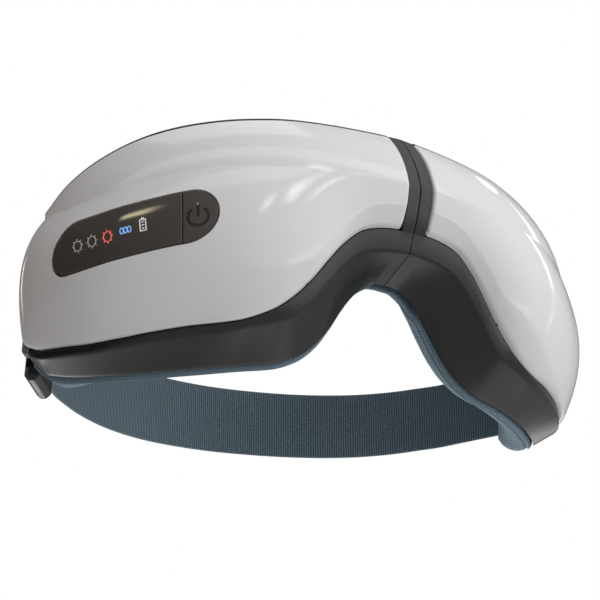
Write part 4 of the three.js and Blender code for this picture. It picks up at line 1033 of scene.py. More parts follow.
@dataclass
class Housing:
    """The dark housing behind each shell, with the bridge band, the strip and the underside."""

    band_step: float = 0.9
    band_radius: float = 0.15
    strip_step: float = 1.1
    band_rise: Keys = ((0, 0.3), (0.25, 1), (1, 1))
    hump: tuple[float, float] = (1.3, 0.7)
    hump_share: Keys = ((0, 0.75), (2.8, 0.75), (4, 1), (50, 1), (72, 0.1), (90, 0.1))
    lip_radius: float = 0.3
    fold_radius: float = 0.7
    rim_radius: float = 0.25
    crest_radius: float = 0.5
    crest_shares: tuple[float, ...] = (0.25, 0.5, 0.75)
    underside_shares: tuple[float, ...] = (0.15, 0.3, 0.45, 0.6, 0.75, 0.88)
    upper_points: int = 9
    lower_points: int = 16
    edge_steps: tuple[float, ...] = (0, 0.03, 0.1, 0.2, 0.35)
    band_places: tuple[float, ...] = (1.3, 2.2, 3.1)
    past_band: tuple[float, ...] = (0.05, 0.5, 1.0)
    body_start: float = 3.2
    hollow_stations: int = 110
    solid_stations: int = 20
    cavity_end: float = 70.0
    solid_gap: float = 1.0
    past_edge: float = 0.01
    board_hole: tuple[float, float, float] = (SHELL_WALL / 2, 6.0, -1.2)
    socket_low: tuple[float, float, float] = (-40.7, 14.2, 75.3)
    socket_high: tuple[float, float, float] = (-30.5, 20.4, 90.0)

    def stations(self) -> list[Station]:
        """Stations from the seam to the temple."""
        start, edge = SEAM_GAP / 2, BAND_HALF_WIDTH - CLEARANCE
        places = [start + step for step in self.edge_steps] + list(self.band_places)
        places += [edge - step for step in self.edge_steps[::-1]] + [edge + step for step in self.past_band]
        body = between(self.body_start, self.cavity_end, self.hollow_stations)
        body += between(self.cavity_end + self.solid_gap, TEMPLE_ANGLE, self.solid_stations, ease=1.0)
        return [at_x(x) for x in places] + body

    def recess(self, station: Station) -> float:
        """How deep the face lies under the shell's outer surface."""
        edge = BAND_HALF_WIDTH - CLEARANCE
        if station.x is None or station.x > edge + self.past_edge:
            return SHELL_WALL + CLEARANCE
        ends = sunk(station.x - SEAM_GAP / 2, self.band_radius) + sunk(edge - station.x, self.band_radius)
        return self.band_step + float(ends)

    def ring(self, station: Station) -> np.ndarray:
        """The housing's closed section at a station.

        Beyond the band it has one point more than on it, so the loft's lines slant there by a point a
        ring. The loft ends a tenth of a millimetre short of the last ring, with a gap of one triangle.
        """
        into = inward(station)
        above, below = (np.linspace(0, 1, count) for count in (self.upper_points, self.lower_points))
        upper, lower = crowns(station)
        face = np.vstack((upper.points(above), lower.points(below)[1:]))
        for end, beside in ((0, 1), (-1, -2)):
            step = face[end] - face[beside]
            face[end] = face[end] + step / np.linalg.norm(step) * CLEARANCE
        banded = station.x is not None
        ease = [through(self.band_rise)(share) for share in np.linspace(0, 1, len(face))] if banded else 1
        seat = offset(face, self.recess(station) * np.array(ease), station)
        lip = seat[0] if banded else face[0]
        crest = face[0] + into * self.hump[0] + UP * self.hump[1] * through(self.hump_share)(station.angle)
        shelf = offset(face, self.strip_step, station)[-1]
        high, edge, rim = top_rim(station), strip_edge(station), RIM.point(station)
        skin = offset(np.vstack((high, seat[::2], edge, rim)), HOUSING_WALL, station)
        inner = [self.held(point, station, i in (0, len(skin) - 1)) for i, point in enumerate(skin)]
        corners = [(high, self.rim_radius)]
        corners += [(high + (crest - high) * t, 0) for t in self.crest_shares]
        corners += [(crest, self.crest_radius), (lip, self.lip_radius)]
        corners += [(point, 0) for point in (seat[1:] if banded else seat)]
        corners += [(shelf, self.lip_radius), ((shelf + edge) / 2, 0), (edge, self.fold_radius)]
        corners += [(edge + (rim - edge) * t, 0) for t in self.underside_shares]
        corners += [(rim, self.rim_radius)]
        corners += [(point, 0) for point in inner[::-1]]
        return rounded(corners)

    def held(self, point: np.ndarray, station: Station, end: bool) -> np.ndarray:
        """A point of the inner skin, kept in front of the open back."""
        high, low = top_rim(station), RIM.point(station)
        behind = high + (low - high) * ((high[2] - point[2]) / (high[2] - low[2]))
        solid = station.angle > self.cavity_end + self.solid_gap / 2
        return behind if end or solid or (behind - point) @ inward(station) < 0 else point

    def build(self, wardrobe: Wardrobe, panel: "Panel") -> None:
        """Builds both housings. The left one has the holes for the board and the charging socket."""
        right = lofted("housing_right", [self.ring(station) for station in self.stations()])
        left = mirrored(right, "housing_left")
        low, high = to_frame(np.array((self.socket_low, self.socket_high)))
        hole = block(high - low, (low + high) / 2)
        cut(left, hole, panel.cutter("board_cutter", *self.board_hole))
        for obj, side in ((left, Side.LEFT), (right, Side.RIGHT)):
            wardrobe.dress(obj, Slot.DARK_HOUSING)
            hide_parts(f"{side.name.lower()}_housing")
            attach(obj, side.body)
            log.info("%s: %d faces", obj.name, len(obj.data.polygons))


class Icon(Enum):
    """The generic signs on the display and the button, and a painted glint on the button."""

    SUN = "sun"
    AIR = "air"
    BATTERY = "battery"
    POWER = "power"
    # A painted glint, not a light of its own.
    LIGHT = "light"


Line = tuple[np.ndarray, bool]


def arc(radius: float, start: float = 0, end: float = 348, steps: int = 30) -> np.ndarray:
    """Points on a circle from one angle to another, clockwise from the top, in degrees."""
    turns = np.radians(np.linspace(start, end, steps))
    return radius * np.stack((np.sin(turns), np.cos(turns)), axis=1)


def straight(start: tuple[float, float], end: tuple[float, float], step: float = 0.3) -> Line:
    """A straight line with points close enough to follow the face."""
    count = max(2, int(math.dist(start, end) / step) + 2)
    return np.linspace(start, end, count), False


def sun_lines(ring: float = 1.58, rays: tuple[float, float] = (1.9, 2.26), wide: float = 0.62) -> list[Line]:
    """A sun: a ring with eight short rays."""
    lines = [(arc(ring) * (wide, 1), True)]
    for angle in np.radians(np.arange(0, 360, 45)):
        near, far = ((math.sin(angle) * reach * wide, math.cos(angle) * reach) for reach in rays)
        lines.append(straight(near, far, 0.2))
    return lines


def air_lines(cell: tuple[float, float] = (0.42, 0.95), pitch: float = 0.95) -> list[Line]:
    """Massaging air: three upright rings side by side."""
    return [(arc(1.0) * cell + (i * pitch, 0), True) for i in (-1, 0, 1)]


def battery_lines(wide: float = 0.74, tall: float = 1.75, corner: float = 0.15, knob: float = 0.35,
                  cell: tuple[float, float] = (0.32, 0.12)) -> list[Line]:
    """A full battery: its case, its knob in two strokes and three cells that lean."""
    across, rise = cell
    lines = [straight((-wide - corner, y), (wide + corner, y)) for y in (-tall, tall)]
    lines += [straight((x, -tall), (x, tall)) for x in (-wide, wide)]
    lines += [straight((-knob, tall + y), (knob, tall + y)) for y in (0.3, 0.5)]
    lines += [straight((-across, y - rise), (across, y + rise)) for y in (-1.0, 0.0, 1.0)]
    return lines


def power_lines(ring: float = 2.75, gap: float = 35, top: float = 4.3) -> list[Line]:
    """The standby sign: an open ring with a bar through its gap."""
    return [(arc(ring, gap, 360 - gap, 44), False), straight((0, 0), (0, top))]


def painted_glint_lines(half: float = 0.4) -> list[Line]:
    """A painted glint, as a short dash that glows. It stands in for a warm lamp's reflection on the top of
    the power bar.
    """
    return [straight((0, -half), (0, half), 0.2)]


LINES = {Icon.SUN: sun_lines, Icon.AIR: air_lines, Icon.BATTERY: battery_lines, Icon.POWER: power_lines,
         Icon.LIGHT: painted_glint_lines}


WARM_WHITE = Moulded((0.4, 0.395, 0.38), 0.4, glow=0.4)


@dataclass(frozen=True)
class Sign:
    """One sign.

    It has its middle as a plan angle and a height, its finish, the breadth of its strokes, and how far it
    leans for each millimetre up, to stand upright on the curved face.
    """

    name: str
    icon: Icon
    angle: float
    height: float
    finish: Moulded
    stroke: float
    lean: float


@dataclass
class Panel:
    """The display window and the power button, a lozenge on the left half below the crease.

    The button's end is half a circle, and the temple end is squarer: its cap is shorter than the lozenge
    is half high.
    """

    start: float = 40.1
    end: float = 74.5
    drop: float = 14.9
    half_height: float = 7.9
    button_length: float = 9.6
    hairline: float = 0.18
    lean: float = 0.09
    cap_length: float = 4.6
    wall: float = 1.2
    inset: float = 0.1
    edge_radius: float = 0.15
    overrun: float = 9.0
    end_steps: tuple[float, ...] = (0, 0.03, 0.1, 0.2, 0.35, 0.6, 1.0, 1.6, 2.4, 3.4, 4.6)
    end_gap: float = 0.002
    least_reach: float = 0.01
    stations: int = 26
    rises: int = 31
    stem_radius: float = 1.3
    stem_sides: int = 32
    stem_root: float = 0.4
    stem_end: float = 0.6
    sign_depths: tuple[float, float] = (-0.03, 0.2)
    signs: tuple[Sign, ...] = (
        Sign("sun_sign_low", Icon.SUN, 68.3, 35.5, WARM_WHITE, 0.22, 0.28),
        Sign("sun_sign_middle", Icon.SUN, 65.0, 36.6, WARM_WHITE, 0.22, 0.26),
        Sign("sun_sign_high", Icon.SUN, 61.6, 37.8, Moulded((0.8, 0.13, 0.1), 0.4, glow=0.75), 0.25, 0.24),
        Sign("air_sign", Icon.AIR, 57.9, 39.65, Moulded((0.2, 0.42, 0.85), 0.4, glow=0.6), 0.3, 0.22),
        Sign("battery_sign", Icon.BATTERY, 54.4, 41.2, Moulded((0.7, 0.7, 0.68), 0.4, glow=0.4), 0.3, 0.2),
        Sign("power_sign", Icon.POWER, 43.8, 44.3, Moulded((0.01, 0.0095, 0.009), 0.15), 0.78, 0.11),
        # Painted glint: a warm glowing dash at the top of the power bar, in place of a lamp's reflection
        # there. It is no light of its own.
        Sign("power_light", Icon.LIGHT, 44.1, 48.1, Moulded((0.2, 0.15, 0.07), 0.4, glow=0.5), 0.6, 0.11),
    )

    def __post_init__(self) -> None:
        """Measures the face's run along the lozenge."""
        before, after, step = 5, 8, 0.1
        self.angles = np.arange(self.start - before, self.end + after, step)
        turns = np.radians(self.angles)
        rate = np.hypot(LOWER_EDGE.reach * np.cos(turns), PLAN_DEPTH * np.sin(turns)) * math.radians(step)
        runs = np.concatenate(((0,), np.cumsum(rate)[:-1]))
        self.runs = runs - np.interp(self.start, self.angles, runs)
        self.length = float(np.interp(self.end, self.angles, self.runs))

    def point(self, run: float, rise: float, depth: float) -> np.ndarray:
        """A point on the left face: along the lozenge, up from its middle line, and moved in."""
        station = Station(float(np.interp(run, self.runs, self.angles)))
        _, crown = crowns(station)
        share = crown.share_at(CREASE.point(station)[2] - self.drop + rise)
        return crown.points(np.array((share,)), depth)[0] * (-1, 1, 1)

    def slab(self, name: str, first: float, last: float, outer: float, inner: float,
             margin: float, radius: float, leans: tuple[float, float] = (0, 0)) -> Object:
        """A slab of the lozenge between two lengths and two depths.

        Args:
            name: The piece's name.
            first: Where it starts along the lozenge.
            last: Where it ends.
            outer: The depth of its face.
            inner: The depth of its back.
            margin: How far it reaches beyond the lozenge.
            radius: The rounding of its edge.
            leans: How much each end leans towards the temple, for each millimetre up.

        Returns:
            The object.
        """
        half = self.half_height + margin
        gap = self.end_gap * half
        low, high = max(first, gap - margin), min(last, self.length + margin - gap)
        runs = low + marks(high - low, self.end_steps, self.end_steps, self.stations)
        spread = np.sin(np.linspace(-1, 1, self.rises) * math.pi / 2)
        squarer = self.half_height / self.cap_length
        rings = []
        for run in runs:
            past = half - min(run + margin, (self.length + margin - run) * squarer, half)
            reach = math.sqrt(max(half**2 - past**2, self.least_reach**2))
            rises = spread * reach
            rim = half - np.hypot(past, rises)
            cuts = min(run - first if first > 0 else half, last - run if last < self.length else half)
            sink = sunk(np.minimum(rim, cuts), radius) if radius else np.zeros(len(rises))
            share = (run - low) / (high - low)
            lean = leans[0] * (1 - share) + leans[1] * share
            face = [self.point(run + lean * rise, rise, outer + down) for rise, down in zip(rises, sink)]
            back = [self.point(run + lean * rise, rise, inner) for rise in rises[::-3]]
            rings.append(np.array(face + back))
        return lofted(name, rings)

    def cutter(self, name: str, outer: float, inner: float, margin: float) -> Object:
        """The lozenge as a tool for cutting what lies round it."""
        return self.slab(name, -self.overrun, self.length + self.overrun, outer, inner, margin, 0)

    def drawn(self, sign: Sign) -> Object:
        """A sign drawn on the face in strokes, as a thin solid that stands a little proud."""
        middle = float(np.interp(sign.angle, self.angles, self.runs))
        lift = sign.height - (CREASE.point(Station(sign.angle))[2] - self.drop)
        points, faces = [], []
        for line, closed in LINES[sign.icon]():
            count, first = len(line), len(points)
            ahead = np.roll(line, -1, axis=0) if closed else np.vstack((line[1:], 2 * line[-1] - line[-2]))
            behind = np.roll(line, 1, axis=0) if closed else np.vstack((2 * line[0] - line[1], line[:-1]))
            way = ahead - behind
            side = np.stack((-way[:, 1], way[:, 0]), axis=1)
            side *= sign.stroke / 2 / np.linalg.norm(side, axis=1)[:, None]
            proud, deep = self.sign_depths
            for place, out in zip(line, side):
                for corner, depth in ((out, proud), (-out, proud), (-out, deep), (out, deep)):
                    right, up = place + corner
                    points.append(self.point(middle - right + sign.lean * up, lift + up, self.inset + depth))
            for i in range(count if closed else count - 1):
                here, there = first + 4 * i, first + 4 * ((i + 1) % count)
                faces += [[here + j, here + (j + 1) % 4, there + (j + 1) % 4, there + j] for j in range(4)]
            if not closed:
                faces += [[first + j for j in range(4)], [first + 4 * (count - 1) + j for j in range(4)]]
        return shaped(sign.name, np.array(points), faces)

    def add_stem(self, cap: Object, back: float) -> None:
        """Joins a stem to the cap, from just inside its back to the switch behind it."""
        depths = (back - self.stem_root, back + self.stem_end)
        root, end = (to_frame(self.point(self.button_length / 2, 0, depth))[0] for depth in depths)
        way = Vector(end - root)
        turned = way.to_track_quat("Z", "Y").to_matrix().to_4x4()
        middle = Matrix.Translation(Vector(root + end) / 2)
        stem = rod(self.stem_radius * MM, way.length, self.stem_sides, middle @ turned)
        combined(cap, "UNION", stem)

    def build(self, wardrobe: Wardrobe) -> None:
        """Builds the window, the button with its stem, and the signs."""
        back = self.inset + self.wall
        window = self.slab("window_glass", self.button_length + self.hairline, self.length + self.overrun,
                           self.inset, back, 0, self.edge_radius, (self.lean, 0))
        cap = self.slab("button_cap", -self.overrun, self.button_length, self.inset, back, 0,
                        self.edge_radius, (0, self.lean))
        self.add_stem(cap, back)
        for obj, node, body in ((window, "display_window", Side.LEFT.body), (cap, "power_button", "button")):
            wardrobe.dress(obj, Slot.DISPLAY_PLASTIC)
            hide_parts(node)
            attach(obj, body)
        for sign in self.signs:
            obj = self.drawn(sign)
            obj.data.materials.append(sign.finish.material(sign.name))
            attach(obj, "button" if sign.icon in (Icon.POWER, Icon.LIGHT) else Side.LEFT.body)
        log.info("panel: %d signs, %.1f mm long", len(self.signs), self.length)


@dataclass
class Lining:
    """The face lining: one padded piece over both halves and the bridge.

    A sewn line runs round each eye dish, as a groove with a roll beside it. Each of them has its place, as a
    share of the dish, and its size.
    """

    depth: float = 8.0
    gap: float = 1.1
    inset: float = 1.2
    spill: float = 0.7
    end_angle: float = 85.2
    bead: float = 0.85
    taper: Keys = ((0, 0.7), (5, 0.78), (9, 0.92), (25, 1), (60, 1), (74, 1.02), (80, 0.98), (83.5, 0.78),
                   (85.2, 0.45))
    belly: Keys = ((0, 0), (60, 0), (68, 1.3), (76, 2.0), (83, 1.8), (85.2, 1.0))
    bulk: Keys = ((0, 0), (54, 0), (64, 1.6), (73, 4.0), (80, 4.2), (83.5, 2.6), (85.2, 0.6))
    front: Keys = ((0, 3.2), (1.6, 3.1), (3.2, 2.3), (7.5, 2.2), (9, 1.1), (74, 1.1), (79, 0.15), (90, 0.15))
    eye: tuple[float, float] = (18.5, 0.6277)
    eye_size: tuple[float, float] = (34.0, 25.0)
    pocket: float = 3.2
    pocket_size: float = 1.06
    pocket_slope: float = 0.06
    dish: float = 4.6
    dish_size: float = 1.42
    dish_power: float = 0.7
    groove: tuple[float, float] = (1.0, 1.3)
    roll: tuple[float, float] = (1.12, 0.8)
    seam_width: float = 0.05
    back_ends: tuple[float, float] = (4.6, 6.4)
    back_points: int = 60
    front_points: int = 26
    front_inset: float = 2.0
    curve_steps: int = 3
    seam_stations: int = 11
    body_start: float = 4.4
    body_stations: int = 150
    body_end_gap: float = 3.0
    lowest: float = 0.02
    seam_step: float = 0.35
    tip_steps: tuple[float, ...] = (2.4, 1.9, 1.4, 0.9, 0.5, 0.2, 0)
    reach: float = 0.012

    def __post_init__(self) -> None:
        """Finds the middle of the eye recess and makes the tapers."""
        self.centre, _ = place_on_back(*self.eye)
        self.tapered, self.fronts = through(self.taper), through(self.front)
        self.bellies, self.bulks = through(self.belly), through(self.bulk)

    def eye_share(self, point: np.ndarray, scale: float) -> float:
        """How far a point is from the eye's middle, 1 on an ellipse that is `scale` times the opening."""
        across = (point[0] - self.centre[0]) / (self.eye_size[0] / 2 * scale)
        up = (point[2] - self.centre[2]) / (self.eye_size[1] / 2 * scale)
        return math.hypot(across, up)

    def crest(self, line: BackLine, along: float, rear: float) -> np.ndarray:
        """A point of the lining's back, dished at the eye, with a sewn line round the dish."""
        point = line.point(along, rear)
        share = self.eye_share(point, self.dish_size)
        sunk_by = self.dish * max(0.0, 1 - share**2) ** self.dish_power
        groove, roll = (size * math.exp(-(((share - middle) / self.seam_width) ** 2))
                        for middle, size in (self.groove, self.roll))
        return point - line.back * (sunk_by + (groove - roll))

    def ring(self, station: Station) -> np.ndarray:
        """The lining's closed section at a station, with a bead along both edges.

        A place is a distance down the line across the open back, and a depth behind it.
        """
        line = BackLine(station)
        gap, end = self.fronts(station.angle), line.length
        depth = self.depth * self.tapered(station.angle)
        spill = self.spill * RIM.share(station.angle)
        rear = self.gap + depth
        bead = self.bead
        top = [(self.inset, gap), (-0.2 * bead, gap + 0.1), (-0.7 * bead, gap + bead),
               (-0.2, gap + 1.8 * bead), (0.5, gap + 2.1 * bead), (0.15, gap + 0.42 * depth + bead),
               (0.3, gap + 0.62 * depth), (1.1, rear - 0.16 * depth), (2.6, rear - 0.03 * depth)]
        foot, belly, bulk = end + spill, self.bellies(station.angle), self.bulks(station.angle)
        high, short = self.back_ends
        crest = [self.crest(line, along, rear + bulk * (along / end) ** 2)
                 for along in np.linspace(high, foot + 0.6 * belly - short, self.back_points)]
        rear, depth = rear + bulk, depth + bulk
        low = [(foot - 4.6 + 0.6 * belly, rear - 0.04 * depth),
               (foot - 2.8 + 0.9 * belly, rear - 0.17 * depth),
               (foot - 1.5 + belly, rear - 0.36 * depth), (foot - 0.5 + 0.8 * belly, rear - 0.58 * depth),
               (foot + 0.3 * belly, gap + 2.8 * bead), (foot - 0.45, gap + 2.1 * bead),
               (foot + 0.1, gap + 1.7 * bead), (foot + 0.5, gap + bead), (end + 0.1, gap + 0.15),
               (end - self.inset, gap)]
        edge = self.inset + self.front_inset
        front = [self.hollow(line, along, gap) for along in np.linspace(end - edge, edge, self.front_points)]
        above, below = (smooth_through([line.point(*place) for place in places], self.curve_steps)
                        for places in (top, low))
        ring = np.vstack((above, crest, below, front))
        ring[:, 2] = np.maximum(ring[:, 2], self.lowest)
        return ring

    def hollow(self, line: BackLine, along: float, gap: float) -> np.ndarray:
        """A point of the lining's front, hollow where the massage head stands."""
        point = line.point(along, gap)
        share = self.eye_share(point, self.pocket_size)
        deep = float(np.clip((self.pocket_size - share) / self.pocket_slope, 0, 1)) * self.pocket
        return point + line.back * deep

    def build(self, wardrobe: Wardrobe) -> None:
        """Builds the lining in one piece across the hinge."""
        right = [Station(self.seam_step * (i + 1)) for i in range(self.seam_stations)]
        right += between(self.body_start, self.end_angle - self.body_end_gap, self.body_stations, ease=1.0)
        right += [Station(self.end_angle - step) for step in self.tip_steps]
        rings = [self.ring(station) for station in right]
        left = [ring * (-1, 1, 1) for ring in rings[::-1]]
        obj = lofted("face_lining", [*left, self.ring(Station(0)), *rings])
        wardrobe.dress(obj, Slot.FACE_LINING)
        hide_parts("left_face_pad", "right_face_pad")
        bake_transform(obj)
        log.info("%s: %d faces", obj.name, len(obj.data.polygons))


def smooth_through(points: Sequence[np.ndarray], steps: int) -> np.ndarray:
    """Points on a smooth curve through given ones, with some steps between each two."""
    given = np.array([2 * points[0] - points[1], *points, 2 * points[-1] - points[-2]])
    found = []
    for i in range(1, len(given) - 2):
        a, b, c, d = given[i - 1 : i + 3]
        for t in np.linspace(0, 1, steps, endpoint=False):
            found.append(0.5 * (2 * b + (c - a) * t + (2 * a - 5 * b + 4 * c - d) * t**2
                                + (3 * b - a - 3 * c + d) * t**3))
    found.append(given[-2])
    return np.array(found)


@dataclass
class StrapCurve:
    """The strap's plan, a centripetal curve from the left temple round to the right one."""

    route: tuple[tuple[float, float, float], ...] = (
        (0.9667, 8, 10), (0.8902, 17.1, 8), (0.8137, 26.2, 6), (0.7755, 30.75, 5), (0.7157, 36, 3.9),
        (0.6373, 41.6, 2.5), (0.5392, 47.6, 1.3), (0.4216, 54, 0.6), (0.2941, 59.8, 0.4),
        (0.1569, 63.8, 0.4), (0, 65.5, 0.4),
    )
    stretch_steps: int = 40
    direction_step: float = 0.6

    def __post_init__(self) -> None:
        """Samples the curve densely and measures it."""
        half = [np.array((share * HALF_WIDTH, PLAN_DEPTH + y, z)) for share, y, z in self.route]
        places = [point * (-1, 1, 1) for point in half] + half[-2::-1]
        given = [2 * places[0] - places[1], *places, 2 * places[-1] - places[-2]]
        found = []
        for i in range(1, len(given) - 2):
            found += self.stretch(*given[i - 1 : i + 3])
        self.samples = np.array([*found, places[-1]])
        steps = np.linalg.norm(np.diff(self.samples, axis=0), axis=1)
        self.runs = np.concatenate(((0,), np.cumsum(steps)))
        self.length = float(self.runs[-1])

    def stretch(self, a: np.ndarray, b: np.ndarray, c: np.ndarray, d: np.ndarray) -> list[np.ndarray]:
        """The curve between its second and third points, without the third."""
        before, here, after = (math.sqrt(np.linalg.norm(q - p)) for p, q in ((a, b), (b, c), (c, d)))
        start = ((b - a) / before - (c - a) / (before + here) + (c - b) / here) * here
        end = ((c - b) / here - (d - b) / (here + after) + (d - c) / after) * here
        shares = np.linspace(0, 1, self.stretch_steps, endpoint=False)
        return [b + start * t + (-3 * b + 3 * c - 2 * start - end) * t**2
                + (2 * b - 2 * c + start + end) * t**3 for t in shares]

    def at(self, run: float) -> tuple[np.ndarray, np.ndarray]:
        """The curve's point and direction at a length along it."""
        step = self.direction_step
        low, here, high = (np.array([np.interp(np.clip(place, 0, self.length), self.runs, self.samples[:, i])
                                     for i in range(3)]) for place in (run - step, run, run + step))
        return here, (high - low) / np.linalg.norm(high - low)


@dataclass
class HeadStrap:
    """The elastic head strap with its slider and its sewn ends."""

    curve: StrapCurve = field(default_factory=StrapCurve)
    width: float = 23.5
    wall: float = 1.4
    end_gap: float = 0.02
    rib_pitch: float = 0.88
    rib_height: float = 0.11
    rib_steps: int = 3
    edge_places: tuple[float, ...] = (0, 0.25, 1.0, 3, 6, 9)
    edge_thickness: tuple[float, float] = (0.35, 0.8)
    ribbed_from: float = 0.6
    slider_share: float = 0.066
    slider_size: tuple[float, float, float] = (18.0, 4.6, 32.6)
    slider_shift: tuple[float, float] = (0.6, 0.9)
    slider_bevels: tuple[tuple[float, int, float], ...] = ((1.5, 1, 30.0), (0.3, 3, 25.0))
    groove_radius: float = 0.55
    groove_share: float = 0.7
    groove_start: float = -0.3
    groove_pitch: float = 0.1
    grooves: int = 7
    groove_sides: int = 12
    slot_size: tuple[float, float] = (3.4, 25.1)
    end_size: tuple[float, float, float] = (4.6, 2.9, 25.4)
    end_grip: float = 1.4
    end_bevel: float = 1.2

    def band(self) -> Object:
        """The band along the strap's curve, with a UV map in metres along and across it.

        It has ribs where it is thicker than a share of its wall, and is thinner at both edges.
        """
        start, end = self.end_gap, self.curve.length - self.end_gap
        count = int((end - start) / self.rib_pitch) * self.rib_steps
        heights = np.array(self.edge_places)
        thin = self.edge_thickness
        plain = 2 * len(heights) + 1 - 2 * len(thin)
        heights = np.concatenate((heights, [self.width / 2], self.width - heights[::-1]))
        thick = np.array((*thin, *(1,) * plain, *thin[::-1])) * self.wall / 2
        rings, places = [], []
        for i in range(count + 1):
            run = start + (end - start) * i / count
            point, along = self.curve.at(run)
            out = np.array((-along[1], along[0], 0)) / math.hypot(along[0], along[1])
            wave = 0.5 - 0.5 * math.cos(2 * math.pi * (i % self.rib_steps) / self.rib_steps)
            half = thick - self.rib_height * wave * (thick > self.ribbed_from * self.wall / 2)
            outer = [point + out * t + UP * z for z, t in zip(heights, half)]
            inner = [point - out * t + UP * z for z, t in zip(heights[::-1], half[::-1])]
            rings.append(np.array(outer + inner))
            places += [(run * MM, z * MM) for z in (*heights, *(heights[::-1] + 2 * self.width))]
        return mapped(lofted("strap_band", rings), np.array(places))

    def frame(self, run: float) -> Matrix:
        """A frame on the strap's middle line: X along it, Y outwards and Z up it, in the CAD frame."""
        point, along = self.curve.at(run)
        out = np.array((-along[1], along[0], 0))
        out /= np.linalg.norm(out)
        up = np.cross(along, out)
        origin = to_frame(point + UP * self.width / 2)[0]
        return Matrix.Translation(origin) @ Matrix((along, out, up)).transposed().to_4x4()

    def slider(self) -> Object:
        """The slider: a chamfered sleeve with grip teeth on both faces."""
        long, deep, tall = (size * MM for size in self.slider_size)
        obj = block((long, deep, tall))
        obj.name = obj.data.name = "slider_block"
        for width, segments, angle in self.slider_bevels:
            applied(obj, "BEVEL", width=width * MM, segments=segments, limit_method="ANGLE",
                    angle_limit=math.radians(angle))
        for i in range(self.grooves):
            for side in (-1, 1):
                along = (self.groove_start + self.groove_pitch * i) * long
                place = Matrix.Translation((along, side * deep / 2, 0))
                groove = rod(self.groove_radius * MM, tall * self.groove_share, self.groove_sides, place)
                combined(obj, "DIFFERENCE", groove)
        thick, high = (size * MM for size in self.slot_size)
        combined(obj, "DIFFERENCE", block((2 * long, thick, high)))
        along, out = self.slider_shift
        obj.data.transform(Matrix.Translation((0, out * MM, 0)))
        obj.data.transform(self.frame(self.slider_share * self.curve.length + along))
        return smoothed(obj)

    def sewn_end(self, name: str) -> Object:
        """The strap's sewn end at the left temple: its clamp, covered in webbing."""
        long, deep, tall = (size * MM for size in self.end_size)
        obj = block((long, deep, tall), (self.end_grip * MM - long / 2, 0, 0))
        obj.name = obj.data.name = name
        applied(obj, "BEVEL", width=self.end_bevel * MM, segments=5, limit_method="ANGLE")
        obj.data.uv_layers.remove(obj.data.uv_layers[0])
        mapped(obj, np.array([(vertex.co.x, vertex.co.z) for vertex in obj.data.vertices]))
        obj.data.transform(self.frame(0))
        return smoothed(obj, SOFT_EDGE)

    def build(self, wardrobe: Wardrobe) -> None:
        """Builds the strap, the slider and both sewn ends."""
        strap = self.band()
        wardrobe.dress(strap, Slot.STRAP_WEBBING)
        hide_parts("head_strap")
        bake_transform(strap)
        block = self.slider()
        wardrobe.dress(block, Slot.BLACK_PLASTIC)
        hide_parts("strap_slider")
        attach(block, "slider")
        left = self.sewn_end("strap_end_left")
        for obj, side in ((left, Side.LEFT), (mirrored(left, "strap_end_right"), Side.RIGHT)):
            wardrobe.dress(obj, Slot.STRAP_WEBBING)
            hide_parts(f"{side.name.lower()}_strap_anchor")
            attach(obj, side.body)
        log.info("%s: %d faces, %.0f mm", strap.name, len(strap.data.polygons), self.curve.length)


@dataclass
class Crossings:
    """The air hose and the cable, which cross the hinge inside."""

    reach: float = 0.012

    def tube(self, name: str, node: str) -> Object:
        """A finer tube in the place of a CAD node's, smoothed from a copy of the node's mesh."""
        mesh = bpy.data.objects[node].data.copy()
        mesh.name = name
        work = bmesh.new()
        work.from_mesh(mesh)
        bmesh.ops.remove_doubles(work, verts=work.verts, dist=COPIED_DOUBLES)
        work.to_mesh(mesh)
        work.free()
        copy = bpy.data.objects.new(name, mesh)
        bpy.context.scene.collection.objects.link(copy)
        applied(copy, "SUBSURF", levels=1, render_levels=1)
        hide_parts(node)
        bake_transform(copy)
        return smoothed(copy, SOFT_EDGE)

    def build(self, wardrobe: Wardrobe) -> None:
        """Builds both."""
        wardrobe.dress(self.tube("hose_run", "air_hose"), Slot.CLEAR_TUBE)
        wardrobe.dress(self.tube("cable_run", "hinge_cable"), Slot.BLACK_PLASTIC)


NODE_SLOTS = {
    "inner_plate": Slot.INNER_PLASTIC, "plate_screw": Slot.STEEL, "heater_film": Slot.HEATER_FILM,
    "massage_head": Slot.INNER_PLASTIC, "airbag_tray": Slot.INNER_PLASTIC, "airbag": Slot.AIRBAG_RUBBER,
    "air_valve": Slot.STEEL, "air_tube": Slot.CLEAR_TUBE, "vibration_motor": Slot.STEEL,
    "vibration_weight": Slot.BRASS, "board": Slot.CIRCUIT_BOARD, "button_switch": Slot.STEEL,
    "battery_pack": Slot.BATTERY_WRAP, "charging_socket": Slot.STEEL, "pump_motor": Slot.STEEL,
    "pump_crank": Slot.BRASS, "pump_head": Slot.BLACK_PLASTIC, "pump_tube": Slot.CLEAR_TUBE,
    "speaker": Slot.STEEL, "hinge": Slot.STEEL,
}


def dress_frame(frame: dict, wardrobe: Wardrobe) -> None:
    """Gives each CAD node that still shows its slot's material."""
    for name, obj in sorted(frame["nodes"].items()):
        if obj.hide_render:
            continue
        slot = next(slot for part, slot in NODE_SLOTS.items() if part in name)
        wardrobe.dress(obj, slot)
        log.info("%s wears %s", name, slot.value)


def towards(azimuth: float, elevation: float) -> Vector:
    """The direction at an azimuth from the front, positive to the right, and an elevation, in degrees."""
    turn, rise = math.radians(azimuth), math.radians(elevation)
    return Vector((math.sin(turn) * math.cos(rise), -math.cos(turn) * math.cos(rise), math.sin(rise)))


SHELLS = ("shell_left", "shell_right")


@dataclass(frozen=True)
class Glow:
    """A broad part of the sky's light: where it lies, how tight it is and its colour."""

    azimuth: float
    elevation: float
    tightness: float
    colour: Colour


